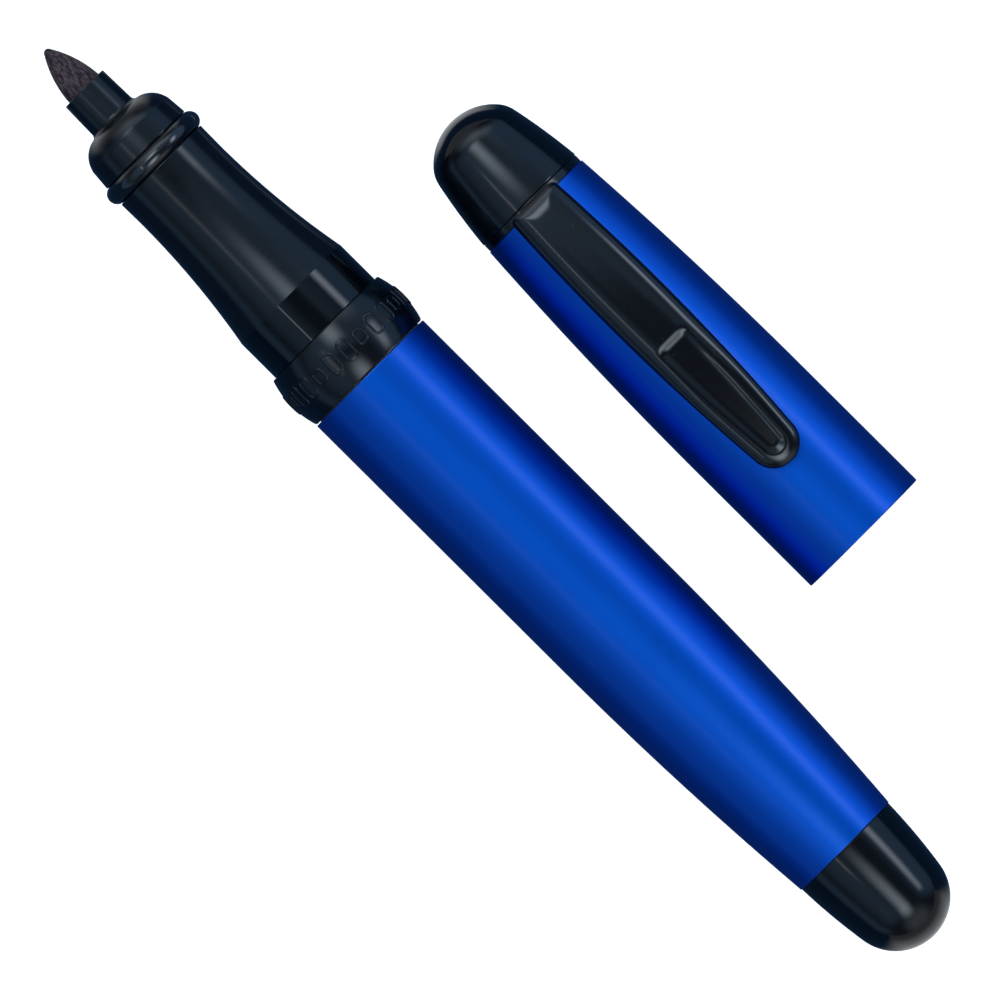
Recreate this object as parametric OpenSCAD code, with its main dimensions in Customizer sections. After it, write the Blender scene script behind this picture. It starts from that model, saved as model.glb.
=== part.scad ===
// Refillable bullet-tip marker, shown with its cap off and lying beside it.
// X runs along the marker: the nib points to -X and the barrel ends at +X.
// The origin is on the marker's axis, at the front face of the collar, where the closed cap stops.
// The cap lies parallel to the marker at +Y, on the same surface, with its clip up (+Z).
// Diameters build up from the ink insert outwards, wall by wall and clearance by clearance.

/* [Ink insert] */
// Outer diameter of the insert's tube
insert_d = 9.2; // [8:0.1:11]
// Wall of the insert's tube
insert_wall = 0.6; // [0.4:0.05:0.8]
// Distance that the insert's tube reaches into the tail dome
insert_in_tail = 1.2; // [-10:0.1:2]
// Length of the end plug's flange
plug_flange_l = 1.6; // [1:0.1:2]
// Length of the end plug inside the tube
plug_l = 4; // [2:0.5:6]
// Gap between reservoir and tube, on the radius
reservoir_gap = 0.2; // [0.05:0.05:0.5]
// Thickness of the film
film_t = 0.1; // [0.05:0.01:0.2]
// Free length at each end of the reservoir
reservoir_room = 1; // [0.2:0.1:3]

/* [Nose and nib] */
// Diameter of the nib's shaft
nib_d = 4.2; // [3:0.1:5.2]
// Length of the nib in front of its tube
nib_l = 5.61; // [4.5:0.01:8]
// Radius of the nib's point
nib_tip_r = 0.45; // [0.3:0.05:1]
// Radius of the nib's sides, along the marker
nib_side_r = 11.5; // [6:0.1:18]
// Diameter of the nib's feed stem
stem_d = 2.4; // [2:0.1:3]
// Length of the feed stem inside the reservoir
stem_in_l = 8; // [4:0.5:12]
// Wall of the nib tube at its mouth
tube_wall = 0.57; // [0.4:0.01:0.8]
// Widening of the nib tube towards the shoulder, on the radius
tube_taper_h = 0.08; // [0:0.01:0.2]
// Length from the nib tube's mouth to the grip section
nose_l = 6.53; // [6:0.01:9]
// Radius of the shoulder's round edge
shoulder_round_r = 2.9; // [2.2:0.1:3]
// Slope of the shoulder where it meets the grip section
shoulder_slope = 14; // [5:1:20]
// Step from the grip section's lip down to the shoulder, on the radius
shoulder_step = 0.04; // [0:0.01:0.1]
// Length of the neck between shoulder and insert tube
neck_l = 1.2; // [0.6:0.1:2]
// Length of the nose's plug inside the insert tube
nose_plug_l = 5; // [3.5:0.5:8]
// Wall of the nose's plug
nose_plug_wall = 0.98; // [0.5:0.01:1.5]
// Thickness of the web that carries the nib
web_t = 3; // [2:0.1:3.5]

/* [Grip section] */
// Length from front face to collar
section_l = 28.2; // [22:0.1:36]
// Length of the cylinder that the cap sits on
seat_l = 5; // [3:0.1:8]
// Step down from that cylinder to the flare, on the radius
seat_step = 0.02; // [0:0.01:0.1]
// Wall of the lip at the front face
lip_front_wall = 0.75; // [0.6:0.01:1]
// Wall of the lip in front of the seal ring
lip_back_wall = 0.95; // [0.8:0.01:1.1]
// Wall behind the seal ring
neck_wall = 1.07; // [0.9:0.01:1.3]
// Wall at the waist
waist_wall = 1.03; // [0.9:0.01:1.3]
// Distance of the waist behind the seal ring
waist_back = 3.75; // [2:0.05:6]
// Distance of the seal ring behind the front face
seal_back = 3.45; // [2.5:0.05:5]
// Height of the seal ring over the bottom of its groove
seal_h = 1.15; // [1.12:0.01:1.4]
// Half the width of the seal ring, which is the radius of its crown
seal_half_w = 1.05; // [0.8:0.05:1.1]
// Wall under the seal ring's groove
groove_wall = 0.5; // [0.4:0.01:0.6]
// Free length on each side of the seal ring in its groove
seal_room = 0.02; // [0.01:0.01:0.1]

/* [Thread] */
// Wall of the threaded tenon on the grip section
tenon_wall = 0.95; // [0.7:0.05:1.4]
// Length of the tenon
tenon_l = 9; // [7:0.5:12]
// Wall of the bush inside the inner barrel
bush_wall = 0.65; // [0.5:0.05:1]
// Step from there up to the bush's head under the collar, on the radius
bush_step = 0.3; // [0.2:0.05:0.4]
// Length that the bush reaches behind the tenon
bush_behind = 7; // [1:0.5:12]
// Depth of the runout groove in the bush behind the tenon
runout_h = 0.3; // [0.1:0.05:0.4]
// Cord diameter of the rubber ring on the tenon
oring_cord_d = 1.0; // [0.6:0.05:1.2]
// Free length at each side of the rubber ring in its groove
oring_room = 0.1; // [0.05:0.05:0.3]

/* [Barrel] */
// Length of the blue barrel sleeve
barrel_l = 68.4; // [56:0.2:90]
// Length of its straight part, from the front
barrel_straight_l = 35.6; // [25:0.2:45]
// Wall of the barrel sleeve
barrel_wall = 0.6; // [0.4:0.05:0.9]
// Wall of the inner barrel round the bush
core_wall = 0.71; // [0.5:0.01:1]
// Wall of the inner barrel at the tail
core_tail_wall = 0.51; // [0.4:0.01:0.8]

/* [Collar] */
// Length of the collar
collar_l = 6.2; // [4:0.1:9]
// Height of the collar's crown above the barrel
collar_proud = 0.41; // [0.1:0.01:1.5]
// Radius of the collar's crown, along the marker
collar_crown_r = 10; // [8:0.5:20]
// Place of the crown, from the front face
collar_crown_x = 3.2; // [2:0.1:4]
// Open gap between collar and barrel sleeve
collar_gap = 0.2; // [0.1:0.05:0.5]

/* [Tail dome] */
// Length of the dome behind the barrel sleeve
tail_l = 12.87; // [11:0.01:18]
// Step from barrel sleeve down to dome, on the radius
tail_step = 0.09; // [0:0.01:0.3]
// Difference between the dome's base radius and the radius of its nose
tail_nose_h = 0.66; // [0.4:0.01:1]
// Radius of the dome's sides, along the marker
tail_side_r = 66; // [50:1:90]
// Thickness of the dome's end
tail_end_t = 3.6; // [2:0.1:4]
// Length of the spigot inside the inner barrel
spigot_l = 12; // [6:0.5:20]
// Wall of the spigot
spigot_wall = 0.48; // [0.3:0.01:0.8]

/* [Cap] */
// Length of the cap's straight part, at the mouth
cap_straight_l = 16.45; // [10:0.05:20]
// Height by which the cap sleeve tapers to the clip ring, on the radius
cap_taper_h = 1.0; // [0.6:0.05:1.2]
// Wall of the cap sleeve
cap_wall = 0.45; // [0.3:0.01:0.7]
// Distance of the lying cap's mouth behind the collar's front face
cap_rest_x = 53.64; // [40:0.02:66]
// Distance between the axes of marker and lying cap
cap_rest_y = 24; // [20:0.5:40]

/* [Cap dome] */
// Length of the dome
cap_dome_l = 11.3; // [9.4:0.1:14]
// Step from the cap sleeve down to the dome, on the radius
cap_dome_step = 0.05; // [0:0.01:0.2]
// Slope of the dome's side at the clip ring
cap_dome_slope = 5.4; // [3:0.2:8]
// Difference between the dome's base radius and the radius of its nose
cap_nose_h = 0.4; // [0.3:0.05:0.6]
// Radius of the dome's knuckle
cap_knuckle_r = 3.5; // [3:0.1:4]
// Radius of the dome's sides, along the cap
cap_side_r = 70; // [60:1:90]
// Wall of the boss that takes the stud
boss_wall = 1.6; // [1:0.1:2]
// Thickness of the dome's moulded wall at the clip ring
dome_wall = 1.5; // [1.3:0.1:2]
// Depth of the hollow round the boss
dome_hollow_l = 6.7; // [3.5:0.1:7]

/* [Cap liner and stud] */
// Length that the liner reaches behind the closed marker's seal ring
liner_behind = 2.3; // [1.5:0.1:5]
// Thickness of the liner's end wall
liner_end_t = 2.5; // [1.5:0.1:4]
// Free length between the liner's end wall and the closed marker's nib
nib_room = 4.41; // [2.6:0.01:10]
// Free width round the nib tube in the liner's chamber, on the radius
chamber_room = 0.83; // [0.3:0.01:1.5]
// Free length between the closed marker's shoulder and the chamber's step
shoulder_room = 0.7; // [0.3:0.1:1]
// Length of the lead-in at the liner's mouth
lead_in_l = 1; // [0.5:0.1:1.5]
// Depth of the lead-in on the radius
lead_in_h = 0.35; // [0.1:0.05:0.45]
// Diameter of the stud's shank
stud_d = 2.4; // [2:0.1:3]
// Width of the stud's head beyond its shank, on the radius
stud_head_h = 1; // [0.5:0.1:1.2]
// Length of the stud's head
stud_head_l = 1.5; // [1:0.1:2]
// Length of the stud inside the dome
stud_in_l = 6; // [4:0.1:6.5]
// Width of the slot in the stud's head
stud_slot_w = 0.8; // [0.5:0.1:1.2]
// Depth of that slot
stud_slot_h = 0.7; // [0.4:0.1:0.9]

/* [Clip] */
// Width of the clip ring, along the cap
clip_ring_w = 0.9; // [0.6:0.05:1.5]
// Depth of the clip ring below the sleeve, on the radius
clip_ring_h = 0.11; // [0.05:0.01:0.4]
// Distance of the clip's root from the dome
clip_root_gap = 0.27; // [0.1:0.01:0.4]
// Length of the clip, from root to tip
clip_l = 37.43; // [30:0.01:45]
// Largest width of the clip
clip_w = 6.95; // [5.5:0.05:8.5]
// Radius of the clip's sides, seen from above
clip_side_r = 250; // [200:10:500]
// Distance of the widest place from the root
clip_wide_x = 14.4; // [10:0.1:20]
// Thickness of the clip
clip_t = 1.25; // [0.8:0.05:1.3]
// Height of the clip's crest above the straight part of the cap
clip_crest_h = 1.85; // [1.8:0.05:3]
// Distance of the crest from the root
clip_crest_x = 22.4; // [15:0.1:28]
// Radius of the clip's arch, seen from the side
clip_arch_r = 270; // [220:5:500]
// Distance of the bead from the tip
bead_x = 2.5; // [1.5:0.1:4]
// Radius of the bead under the tip
bead_r = 2.4; // [1.5:0.1:4]
// Distance of the clip's hinge line from its root
clip_hinge_x = 1.38; // [1.2:0.02:3]

/* [Fits] */
// Radial clearance of parts that turn or slide in each other
run_fit = 0.05; // [0.02:0.01:0.1]
// Radial clearance of parts that are pressed or glued together
press_fit = 0.02; // [0.01:0.01:0.05]
// Radial clearance of the insert in the tail dome's spigot
guide_fit = 0.1; // [0.05:0.01:0.3]
// Radial clearance between the cap's mouth and its seat
cap_fit = 0.06; // [0.05:0.01:0.1]
// Radial clearance between the liner and the seal ring
seal_fit = 0.03; // [0.02:0.01:0.06]
// Radial clearance of the stud in ring and liner
stud_fit = 0.1; // [0.05:0.01:0.2]
// Clearance across the clip's hinge line
clip_hinge_fit = 0.1; // [0.08:0.01:0.2]
// Clearance between the clip's bead and the cap sleeve
bead_fit = 0.12; // [0.1:0.01:0.3]
// Chamfer on the open edges of the sleeves
edge_h = 0.12; // [0.05:0.01:0.15]

/* [Hidden] */

$fn = 96;
arc_steps = 14;
blue = [0.03, 0.18, 0.72];
gloss_black = [0.07, 0.075, 0.085];
satin_black = [0.11, 0.115, 0.12];
moulded_grey = [0.45, 0.46, 0.48];
felt = [0.17, 0.13, 0.13];

// Radii from the ink insert outwards
insert_r = insert_d / 2;
insert_bore_r = insert_r - insert_wall;
shaft_bore_r = insert_r + run_fit;
tenon_r = shaft_bore_r + tenon_wall;
bush_bore_r = tenon_r + run_fit;
bush_tail_r = bush_bore_r + bush_wall;
bush_head_r = bush_tail_r + bush_step;
core_outer_r = bush_tail_r + press_fit + core_wall;
body_r = core_outer_r + press_fit + barrel_wall;
collar_r = body_r + collar_proud;
seat_r = body_r - cap_wall - cap_fit;
groove_r = shaft_bore_r + groove_wall;
seal_r = groove_r + seal_h;
lip_r = shaft_bore_r + lip_front_wall;
shoulder_r = lip_r - shoulder_step;

// Radii at the tail
spigot_bore_r = insert_r + guide_fit;
spigot_r = spigot_bore_r + spigot_wall;
core_bore_r = spigot_r + press_fit;
barrel_tail_r = core_bore_r + core_tail_wall + press_fit + barrel_wall;
tail_r = barrel_tail_r - tail_step;

// Radii of nose and nib
nib_r = nib_d / 2;
nib_bore_r = nib_r + press_fit;
tube_mouth_r = nib_bore_r + tube_wall;
tube_root_r = tube_mouth_r + tube_taper_h;
stem_r = stem_d / 2;
nose_plug_r = insert_bore_r - press_fit;
reservoir_r = insert_bore_r - reservoir_gap;

// Places along the marker
section_x = -section_l;
nib_mouth_x = section_x - nose_l;
nib_tip_x = nib_mouth_x - nib_l;
seal_x = section_x + seal_back;
waist_x = seal_x + waist_back;
insert_x0 = section_x + neck_l;
nose_plug_x1 = insert_x0 + nose_plug_l;
core_x0 = collar_l + collar_gap / 2;
barrel_x0 = collar_l + collar_gap;
barrel_x1 = barrel_x0 + barrel_l;
barrel_bend_x = barrel_x0 + barrel_straight_l;
bush_l = tenon_l + bush_behind;
insert_tail_x = barrel_x1 + insert_in_tail;
reservoir_x0 = nose_plug_x1 + reservoir_room;
reservoir_x1 = insert_tail_x - plug_l - reservoir_room;
stem_x1 = reservoir_x0 + stem_in_l;

// Rubber ring on the tenon
oring_x = oring_room + oring_cord_d / 2;
oring_groove_r = tenon_r - oring_cord_d / 2;
oring_space_r = tenon_r + oring_cord_d / 2 + run_fit;
oring_space_l = oring_cord_d + 2 * oring_room;

// Sizes of the cap, measured from its tip towards its mouth
cap_ring_x = cap_dome_l + clip_ring_w;
liner_wall_x = cap_ring_x + liner_end_t;
cap_l = liner_wall_x + nib_room - nib_tip_x;
cap_bend_x = cap_l - cap_straight_l;
cap_bore_r = seat_r + cap_fit;
cap_tip_r = body_r - cap_taper_h;
cap_dome_r = cap_tip_r - cap_dome_step;
cap_nose_r = cap_dome_r - cap_nose_h;
clip_ring_r = cap_tip_r - clip_ring_h;
stud_r = stud_d / 2;
liner_bore_r = seal_r + seal_fit;
liner_mouth_x = cap_l + seal_x + liner_behind;
liner_step_x = cap_l + section_x - shoulder_round_r - shoulder_room;
chamber_r = tube_root_r + chamber_room;
clip_x0 = cap_dome_l + clip_root_gap;
clip_x1 = clip_x0 + clip_l;
clip_crest_z = body_r + clip_crest_h;
cap_at = [cap_rest_x - cap_l, cap_rest_y, body_r - collar_r];

// Points on an arc about c with radius r, from angle a0 to angle a1
function arc(c, r, a0, a1, steps = arc_steps) =
    [for (i = [0:steps]) let (a = a0 + (a1 - a0) * i / steps) c + r * [cos(a), sin(a)]];

// Sagitta of an arc of radius r at the distance d from its crest
function sag(r, d) = r - sqrt(r * r - d * d);

// Radius of an arc that is level at its start and drops by h over the length l
function drop_r(l, h) = (l * l + h * h) / (2 * abs(h));

// Points from [xa, ra], where the arc is level, to [xb, rb]
function sweep(xa, ra, xb, rb, steps = arc_steps) =
    let (r = drop_r(xb - xa, rb - ra), way = sign(rb - ra))
    [for (i = [0:steps]) let (x = xa + (xb - xa) * i / steps) [x, ra + way * sag(r, x - xa)]];

// The point to the right of the way from a to b where circles about them meet
function circles_meet(a, ra, b, rb) =
    let (d = norm(b - a), e = (b - a) / d, t = (d * d + ra * ra - rb * rb) / (2 * d))
    a + t * e + sqrt(ra * ra - t * t) * [e.y, -e.x];

function angle_to(a, b) = atan2(b.y - a.y, b.x - a.x);

// Bullet shape from its tip at 0 to [l, base_r]: a round nose and one long side arc
function bullet(l, base_r, nose_r, side_r) =
    let (nose = [nose_r, 0], base = [l, base_r],
         side = circles_meet(nose, side_r - nose_r, base, side_r),
         join = angle_to(side, nose))
    concat(arc(nose, nose_r, 180, join), arc(side, side_r, join, angle_to(side, base)));

// Blunt dome from its tip at 0 to [l, base_r]: a nose, a tighter knuckle and one long side arc
function blunt_dome(l, base_r, slope, nose_r, knuckle_r, side_r) =
    let (nose = [nose_r, 0],
         side = [l, base_r] + side_r * [sin(slope), -cos(slope)],
         knuckle = circles_meet(nose, nose_r - knuckle_r, side, side_r - knuckle_r),
         join_a = angle_to(nose, knuckle),
         join_b = angle_to(side, knuckle))
    concat(arc(nose, nose_r, 180, join_a), arc(knuckle, knuckle_r, join_a, join_b),
           arc(side, side_r, join_b, 90 + slope));

function reversed(list) = [for (i = [len(list) - 1:-1:0]) list[i]];

// An outline from front to back, moved to x
function moved(list, x) = [for (p = list) [p.x + x, p.y]];

// An outline with its back towards +X turned into one with its back towards -X, from x
function turned_back(list, x) = [for (p = list) [x - p.x, p.y]];

// A solid of revolution about the X axis: each point is [distance along X, radius]
module turned(outline) {
    rotate([0, 90, 0]) rotate_extrude() polygon([for (p = outline) [p.y, p.x]]);
}

// A tube between x0 and x1
module tube(x0, x1, outer_r, inner_r) {
    turned([[x0, inner_r], [x0, outer_r], [x1, outer_r], [x1, inner_r]]);
}

// What follows is placed where the cap lies
module at_cap() {
    translate(cap_at) children();
}

// Outer surface of the barrel, lowered by h, from its front to x1
function barrel_line(h, x0, x1) =
    concat([[x0, body_r - h]],
           sweep(barrel_bend_x, body_r - h, x1, barrel_tail_r - h));

// Surface of the cap sleeve with the radius tip_r at the clip ring and mouth_r at the mouth
function cap_line(tip_r, mouth_r, x1) =
    concat(reversed(sweep(cap_bend_x, mouth_r, cap_ring_x, tip_r)), [[x1, mouth_r]]);

// Blue metal sleeve of the barrel
module barrel_sleeve() {
    outer = barrel_line(0, barrel_x0 + edge_h, barrel_x1);
    inner = barrel_line(barrel_wall, barrel_x0, barrel_x1);
    color(blue) turned(concat([[barrel_x0, body_r - edge_h]], outer, reversed(inner)));
}

// Inner barrel: fills the sleeve, takes the bush in front and the tail dome's spigot behind
module barrel_core() {
    outer = barrel_line(barrel_wall + press_fit, core_x0, barrel_x1);
    inner = [[core_x0, bush_tail_r + press_fit], [bush_l, bush_tail_r + press_fit],
             [bush_l, core_bore_r], [barrel_x1, core_bore_r]];
    color(moulded_grey) turned(concat(outer, reversed(inner)));
}

// Threaded bush: a wide head under the collar and a narrower tail in the inner barrel
module thread_bush() {
    color("goldenrod") turned([
        [0, oring_space_r], [0, bush_head_r], [core_x0, bush_head_r], [core_x0, bush_tail_r],
        [bush_l, bush_tail_r], [bush_l, bush_bore_r + runout_h], [tenon_l, bush_bore_r + runout_h],
        [tenon_l, bush_bore_r], [oring_space_l, bush_bore_r], [oring_space_l, oring_space_r]]);
}

// Collar between grip section and barrel, crowned along the marker
module collar_ring() {
    crown = [for (i = [0:arc_steps]) let (x = collar_l * i / arc_steps)
             [x, collar_r - sag(collar_crown_r, x - collar_crown_x)]];
    bore_r = bush_head_r + press_fit;
    color(gloss_black) turned(concat([[0, bore_r]], crown, [[collar_l, bore_r]]));
}

// Tail dome with its hollow spigot
module tail_dome() {
    tip_x = barrel_x1 + tail_l;
    dome = turned_back(bullet(tail_l, tail_r, tail_r - tail_nose_h, tail_side_r), tip_x);
    spigot_x = barrel_x1 - spigot_l;
    color(gloss_black) difference() {
        union() {
            turned(concat([[barrel_x1, 0]], reversed(dome)));
            turned([[spigot_x, 0], [spigot_x, spigot_r], [barrel_x1, spigot_r], [barrel_x1, 0]]);
        }
        turned(concat([[spigot_x - 1, 0], [spigot_x - 1, spigot_bore_r]],
                      arc([tip_x - tail_end_t - spigot_bore_r, 0], spigot_bore_r, 90, 0)));
    }
}

// Grip section: lip, groove for the seal ring, waist, flare, cap seat and threaded tenon
module grip_section() {
    groove_x0 = seal_x - seal_half_w - seal_room;
    groove_x1 = seal_x + seal_half_w + seal_room;
    outer = concat(
        [[section_x, lip_r], [groove_x0, shaft_bore_r + lip_back_wall], [groove_x0, groove_r],
         [groove_x1, groove_r], [groove_x1, shaft_bore_r + neck_wall]],
        sweep(waist_x, shaft_bore_r + waist_wall, -seat_l, seat_r - seat_step),
        [[-seat_l, seat_r], [0, seat_r], [0, tenon_r]]);
    oring_x0 = oring_x - oring_cord_d / 2;
    oring_x1 = oring_x + oring_cord_d / 2;
    tenon = [[oring_x0, tenon_r], [oring_x0, oring_groove_r], [oring_x1, oring_groove_r],
             [oring_x1, tenon_r], [tenon_l, tenon_r], [tenon_l, shaft_bore_r]];
    color(satin_black) turned(concat([[section_x, shaft_bore_r]], outer, tenon));
}

// Seal ring: flat inside, round outside
module seal_ring() {
    crown_r = seal_r - seal_half_w;
    color(gloss_black) turned(concat(
        [[seal_x + seal_half_w, groove_r]],
        arc([seal_x, crown_r], seal_half_w, 0, 180),
        [[seal_x - seal_half_w, groove_r]]));
}

// Rubber ring on the tenon
module thread_oring() {
    color(satin_black) translate([oring_x, 0, 0]) rotate([0, 90, 0])
        rotate_extrude() translate([tenon_r, 0]) circle(d = oring_cord_d, $fn = 24);
}

// Nose of the insert: nib tube, shoulder, neck, plug and the web that carries the nib
module nib_holder() {
    edge = [section_x, shoulder_r];
    round_c = edge + shoulder_round_r * [sin(shoulder_slope), -cos(shoulder_slope)];
    start = 180 - asin((tube_root_r - round_c.y) / shoulder_round_r);
    web_x = section_x + web_t;
    outer = concat(
        [[nib_mouth_x, tube_mouth_r]],
        arc(round_c, shoulder_round_r, start, 90 + shoulder_slope),
        [[section_x, insert_r], [insert_x0, insert_r], [insert_x0, nose_plug_r],
         [nose_plug_x1, nose_plug_r]]);
    inner = [[nib_mouth_x, nib_bore_r], [section_x, nib_bore_r], [section_x, stem_r + press_fit],
             [web_x, stem_r + press_fit], [web_x, nose_plug_r - nose_plug_wall],
             [nose_plug_x1, nose_plug_r - nose_plug_wall]];
    color(satin_black) turned(concat(outer, reversed(inner)));
}

// Bullet nib with its shaft and its feed stem
module nib() {
    point = moved(bullet(nib_l, nib_r, nib_tip_r, nib_side_r), nib_tip_x);
    color(felt) turned(concat(point, [[section_x, nib_r], [section_x, stem_r],
                                      [stem_x1, stem_r], [stem_x1, 0]]));
}

// Tube of the ink insert
module insert_tube() {
    color(moulded_grey) tube(insert_x0, insert_tail_x, insert_r, insert_bore_r);
}

// Plug that closes the back of the insert
module insert_plug() {
    x1 = insert_tail_x + plug_flange_l;
    color(satin_black) turned([
        [insert_tail_x - plug_l, 0], [insert_tail_x - plug_l, nose_plug_r], [insert_tail_x, nose_plug_r],
        [insert_tail_x, insert_r], [x1, insert_r], [x1, 0]]);
}

// Fibre rod that holds the ink, with the hole that the feed stem makes in it
module ink_reservoir() {
    r = reservoir_r - film_t;
    hole_r = stem_r + press_fit;
    color("darkslateblue") turned([
        [reservoir_x0, hole_r], [reservoir_x0, r], [reservoir_x1, r], [reservoir_x1, 0],
        [stem_x1 + press_fit, 0], [stem_x1 + press_fit, hole_r]]);
}

// Film round the fibre rod
module reservoir_film() {
    color("lightsteelblue") tube(reservoir_x0, reservoir_x1, reservoir_r, reservoir_r - film_t);
}

// Blue metal sleeve of the cap
module cap_sleeve() {
    outer = cap_line(cap_tip_r, body_r, cap_l - edge_h);
    inner = cap_line(cap_tip_r - cap_wall, cap_bore_r, cap_l);
    color(blue) at_cap() turned(concat(outer, [[cap_l, body_r - edge_h]], reversed(inner)));
}

// Dome of the cap: a moulded shell with a boss for the stud
module cap_dome() {
    dome = blunt_dome(cap_dome_l, cap_dome_r, cap_dome_slope, cap_nose_r, cap_knuckle_r, cap_side_r);
    hollow_r = cap_dome_r - dome_wall;
    hollow_x = cap_dome_l - dome_hollow_l;
    boss_r = stud_r + boss_wall;
    round_h = dome_hollow_l / 2;
    color(gloss_black) at_cap() difference() {
        turned(concat(dome, [[cap_dome_l, 0]]));
        turned([[hollow_x, boss_r], [hollow_x, (boss_r + hollow_r) / 2], [hollow_x + round_h, hollow_r],
                [cap_dome_l + 1, hollow_r], [cap_dome_l + 1, boss_r]]);
        round_hole(cap_dome_l - stud_in_l - stud_fit, cap_dome_l + 1, stud_r + press_fit);
    }
}

// A round hole between x0 and x1
module round_hole(x0, x1, r) {
    translate([x0, 0, 0]) rotate([0, 90, 0]) cylinder(h = x1 - x0, r = r);
}

// Height of the clip's top face above the cap's axis
function clip_top(x) = clip_crest_z - sag(clip_arch_r, x - clip_x0 - clip_crest_x);

// Height of the clip's under side, with the bead near its tip
function clip_bottom(x) =
    let (arm = clip_top(x) - clip_t, bead_d = x - (clip_x1 - bead_x))
    abs(bead_d) < bead_r ? min(arm, body_r + bead_fit + sag(bead_r, bead_d)) : arm;

// Half the clip's width at x, without its round tip
function clip_half_w(x) = clip_w / 2 - sag(clip_side_r, x - clip_x0 - clip_wide_x);

// The clip between x0 and x1: its side view cut to its plan
module clip_part(x0, x1) {
    steps = 48;
    xs = [for (i = [0:steps]) x0 + (x1 - x0) * i / steps];
    view = concat([for (x = xs) [x, clip_top(x)]], reversed([for (x = xs) [x, clip_bottom(x)]]));
    intersection() {
        rotate([90, 0, 0]) linear_extrude(height = clip_w + 2, center = true) polygon(view);
        translate([0, 0, body_r - 2]) linear_extrude(height = clip_crest_h + 4) clip_plan();
    }
}

// Plan of the clip: two long side arcs and a round tip
module clip_plan() {
    tip_r = clip_half_w(clip_x1 - clip_w / 2);
    tip_c = clip_x1 - tip_r;
    steps = 16;
    side = [for (i = [0:steps]) let (x = clip_x0 + (tip_c - clip_x0) * i / steps)
            [x, clip_half_w(x) + (tip_r - clip_half_w(tip_c)) * i / steps]];
    tip = [for (i = [1:steps - 1]) let (a = 90 - 180 * i / steps) [tip_c + tip_r * cos(a), tip_r * sin(a)]];
    polygon(concat(side, tip, reversed([for (p = side) [p.x, -p.y]])));
}

// Clip ring between dome and sleeve, with the root of the clip standing on it
module clip_ring() {
    root_x1 = clip_x0 + clip_hinge_x - clip_hinge_fit / 2;
    root_w = 2 * clip_half_w(clip_x0);
    color(gloss_black) at_cap() {
        difference() {
            union() {
                tube(cap_dome_l, cap_ring_x, clip_ring_r, stud_r + stud_fit);
                translate([clip_x0, -root_w / 2, clip_ring_r / 2])
                    cube([cap_ring_x - clip_x0, root_w, clip_top(clip_x0) - clip_t / 2 - clip_ring_r / 2]);
                clip_part(clip_x0, root_x1);
            }
            round_hole(cap_dome_l - 1, cap_ring_x + 1, stud_r + stud_fit);
        }
    }
}

// Springing arm of the clip, with its bead
module clip_arm() {
    color(gloss_black) at_cap() clip_part(clip_x0 + clip_hinge_x + clip_hinge_fit / 2, clip_x1);
}

// Inner cap: end wall, chamber round the nib and the wider bore that seals on the seal ring
module cap_liner() {
    line = cap_line(cap_tip_r - cap_wall - press_fit, cap_bore_r - press_fit, cap_l);
    outer = [for (p = line) if (p.x < liner_mouth_x) p];
    bend_d = max(0, cap_bend_x - liner_mouth_x);
    mouth_r = cap_bore_r - press_fit - sag(drop_r(cap_bend_x - cap_ring_x, cap_taper_h), bend_d);
    inner = [[cap_ring_x, stud_r + stud_fit], [liner_wall_x, stud_r + stud_fit],
             [liner_wall_x, chamber_r], [liner_step_x, chamber_r],
             [liner_step_x, liner_bore_r], [liner_mouth_x - lead_in_l, liner_bore_r],
             [liner_mouth_x, liner_bore_r + lead_in_h]];
    color("whitesmoke") at_cap() turned(concat(outer, [[liner_mouth_x, mouth_r]], reversed(inner)));
}

// Screw that holds dome, clip ring and liner together
module cap_stud() {
    x0 = cap_dome_l - stud_in_l;
    head_r = stud_r + stud_head_h;
    head_x1 = liner_wall_x + stud_head_l;
    color("silver") at_cap() difference() {
        turned([[x0, 0], [x0, stud_r], [liner_wall_x, stud_r], [liner_wall_x, head_r],
                [head_x1, head_r], [head_x1, 0]]);
        translate([head_x1 - stud_slot_h, -2 * head_r, -stud_slot_w / 2])
            cube([stud_slot_h + 1, 4 * head_r, stud_slot_w]);
    }
}

barrel_sleeve();
barrel_core();
thread_bush();
collar_ring();
tail_dome();
grip_section();
seal_ring();
thread_oring();
nib_holder();
nib();
insert_tube();
insert_plug();
ink_reservoir();
reservoir_film();
cap_sleeve();
cap_dome();
clip_ring();
cap_liner();
cap_stud();
clip_arm();
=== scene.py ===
import math

import bmesh
import bpy
from mathutils import Matrix, Vector


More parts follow.
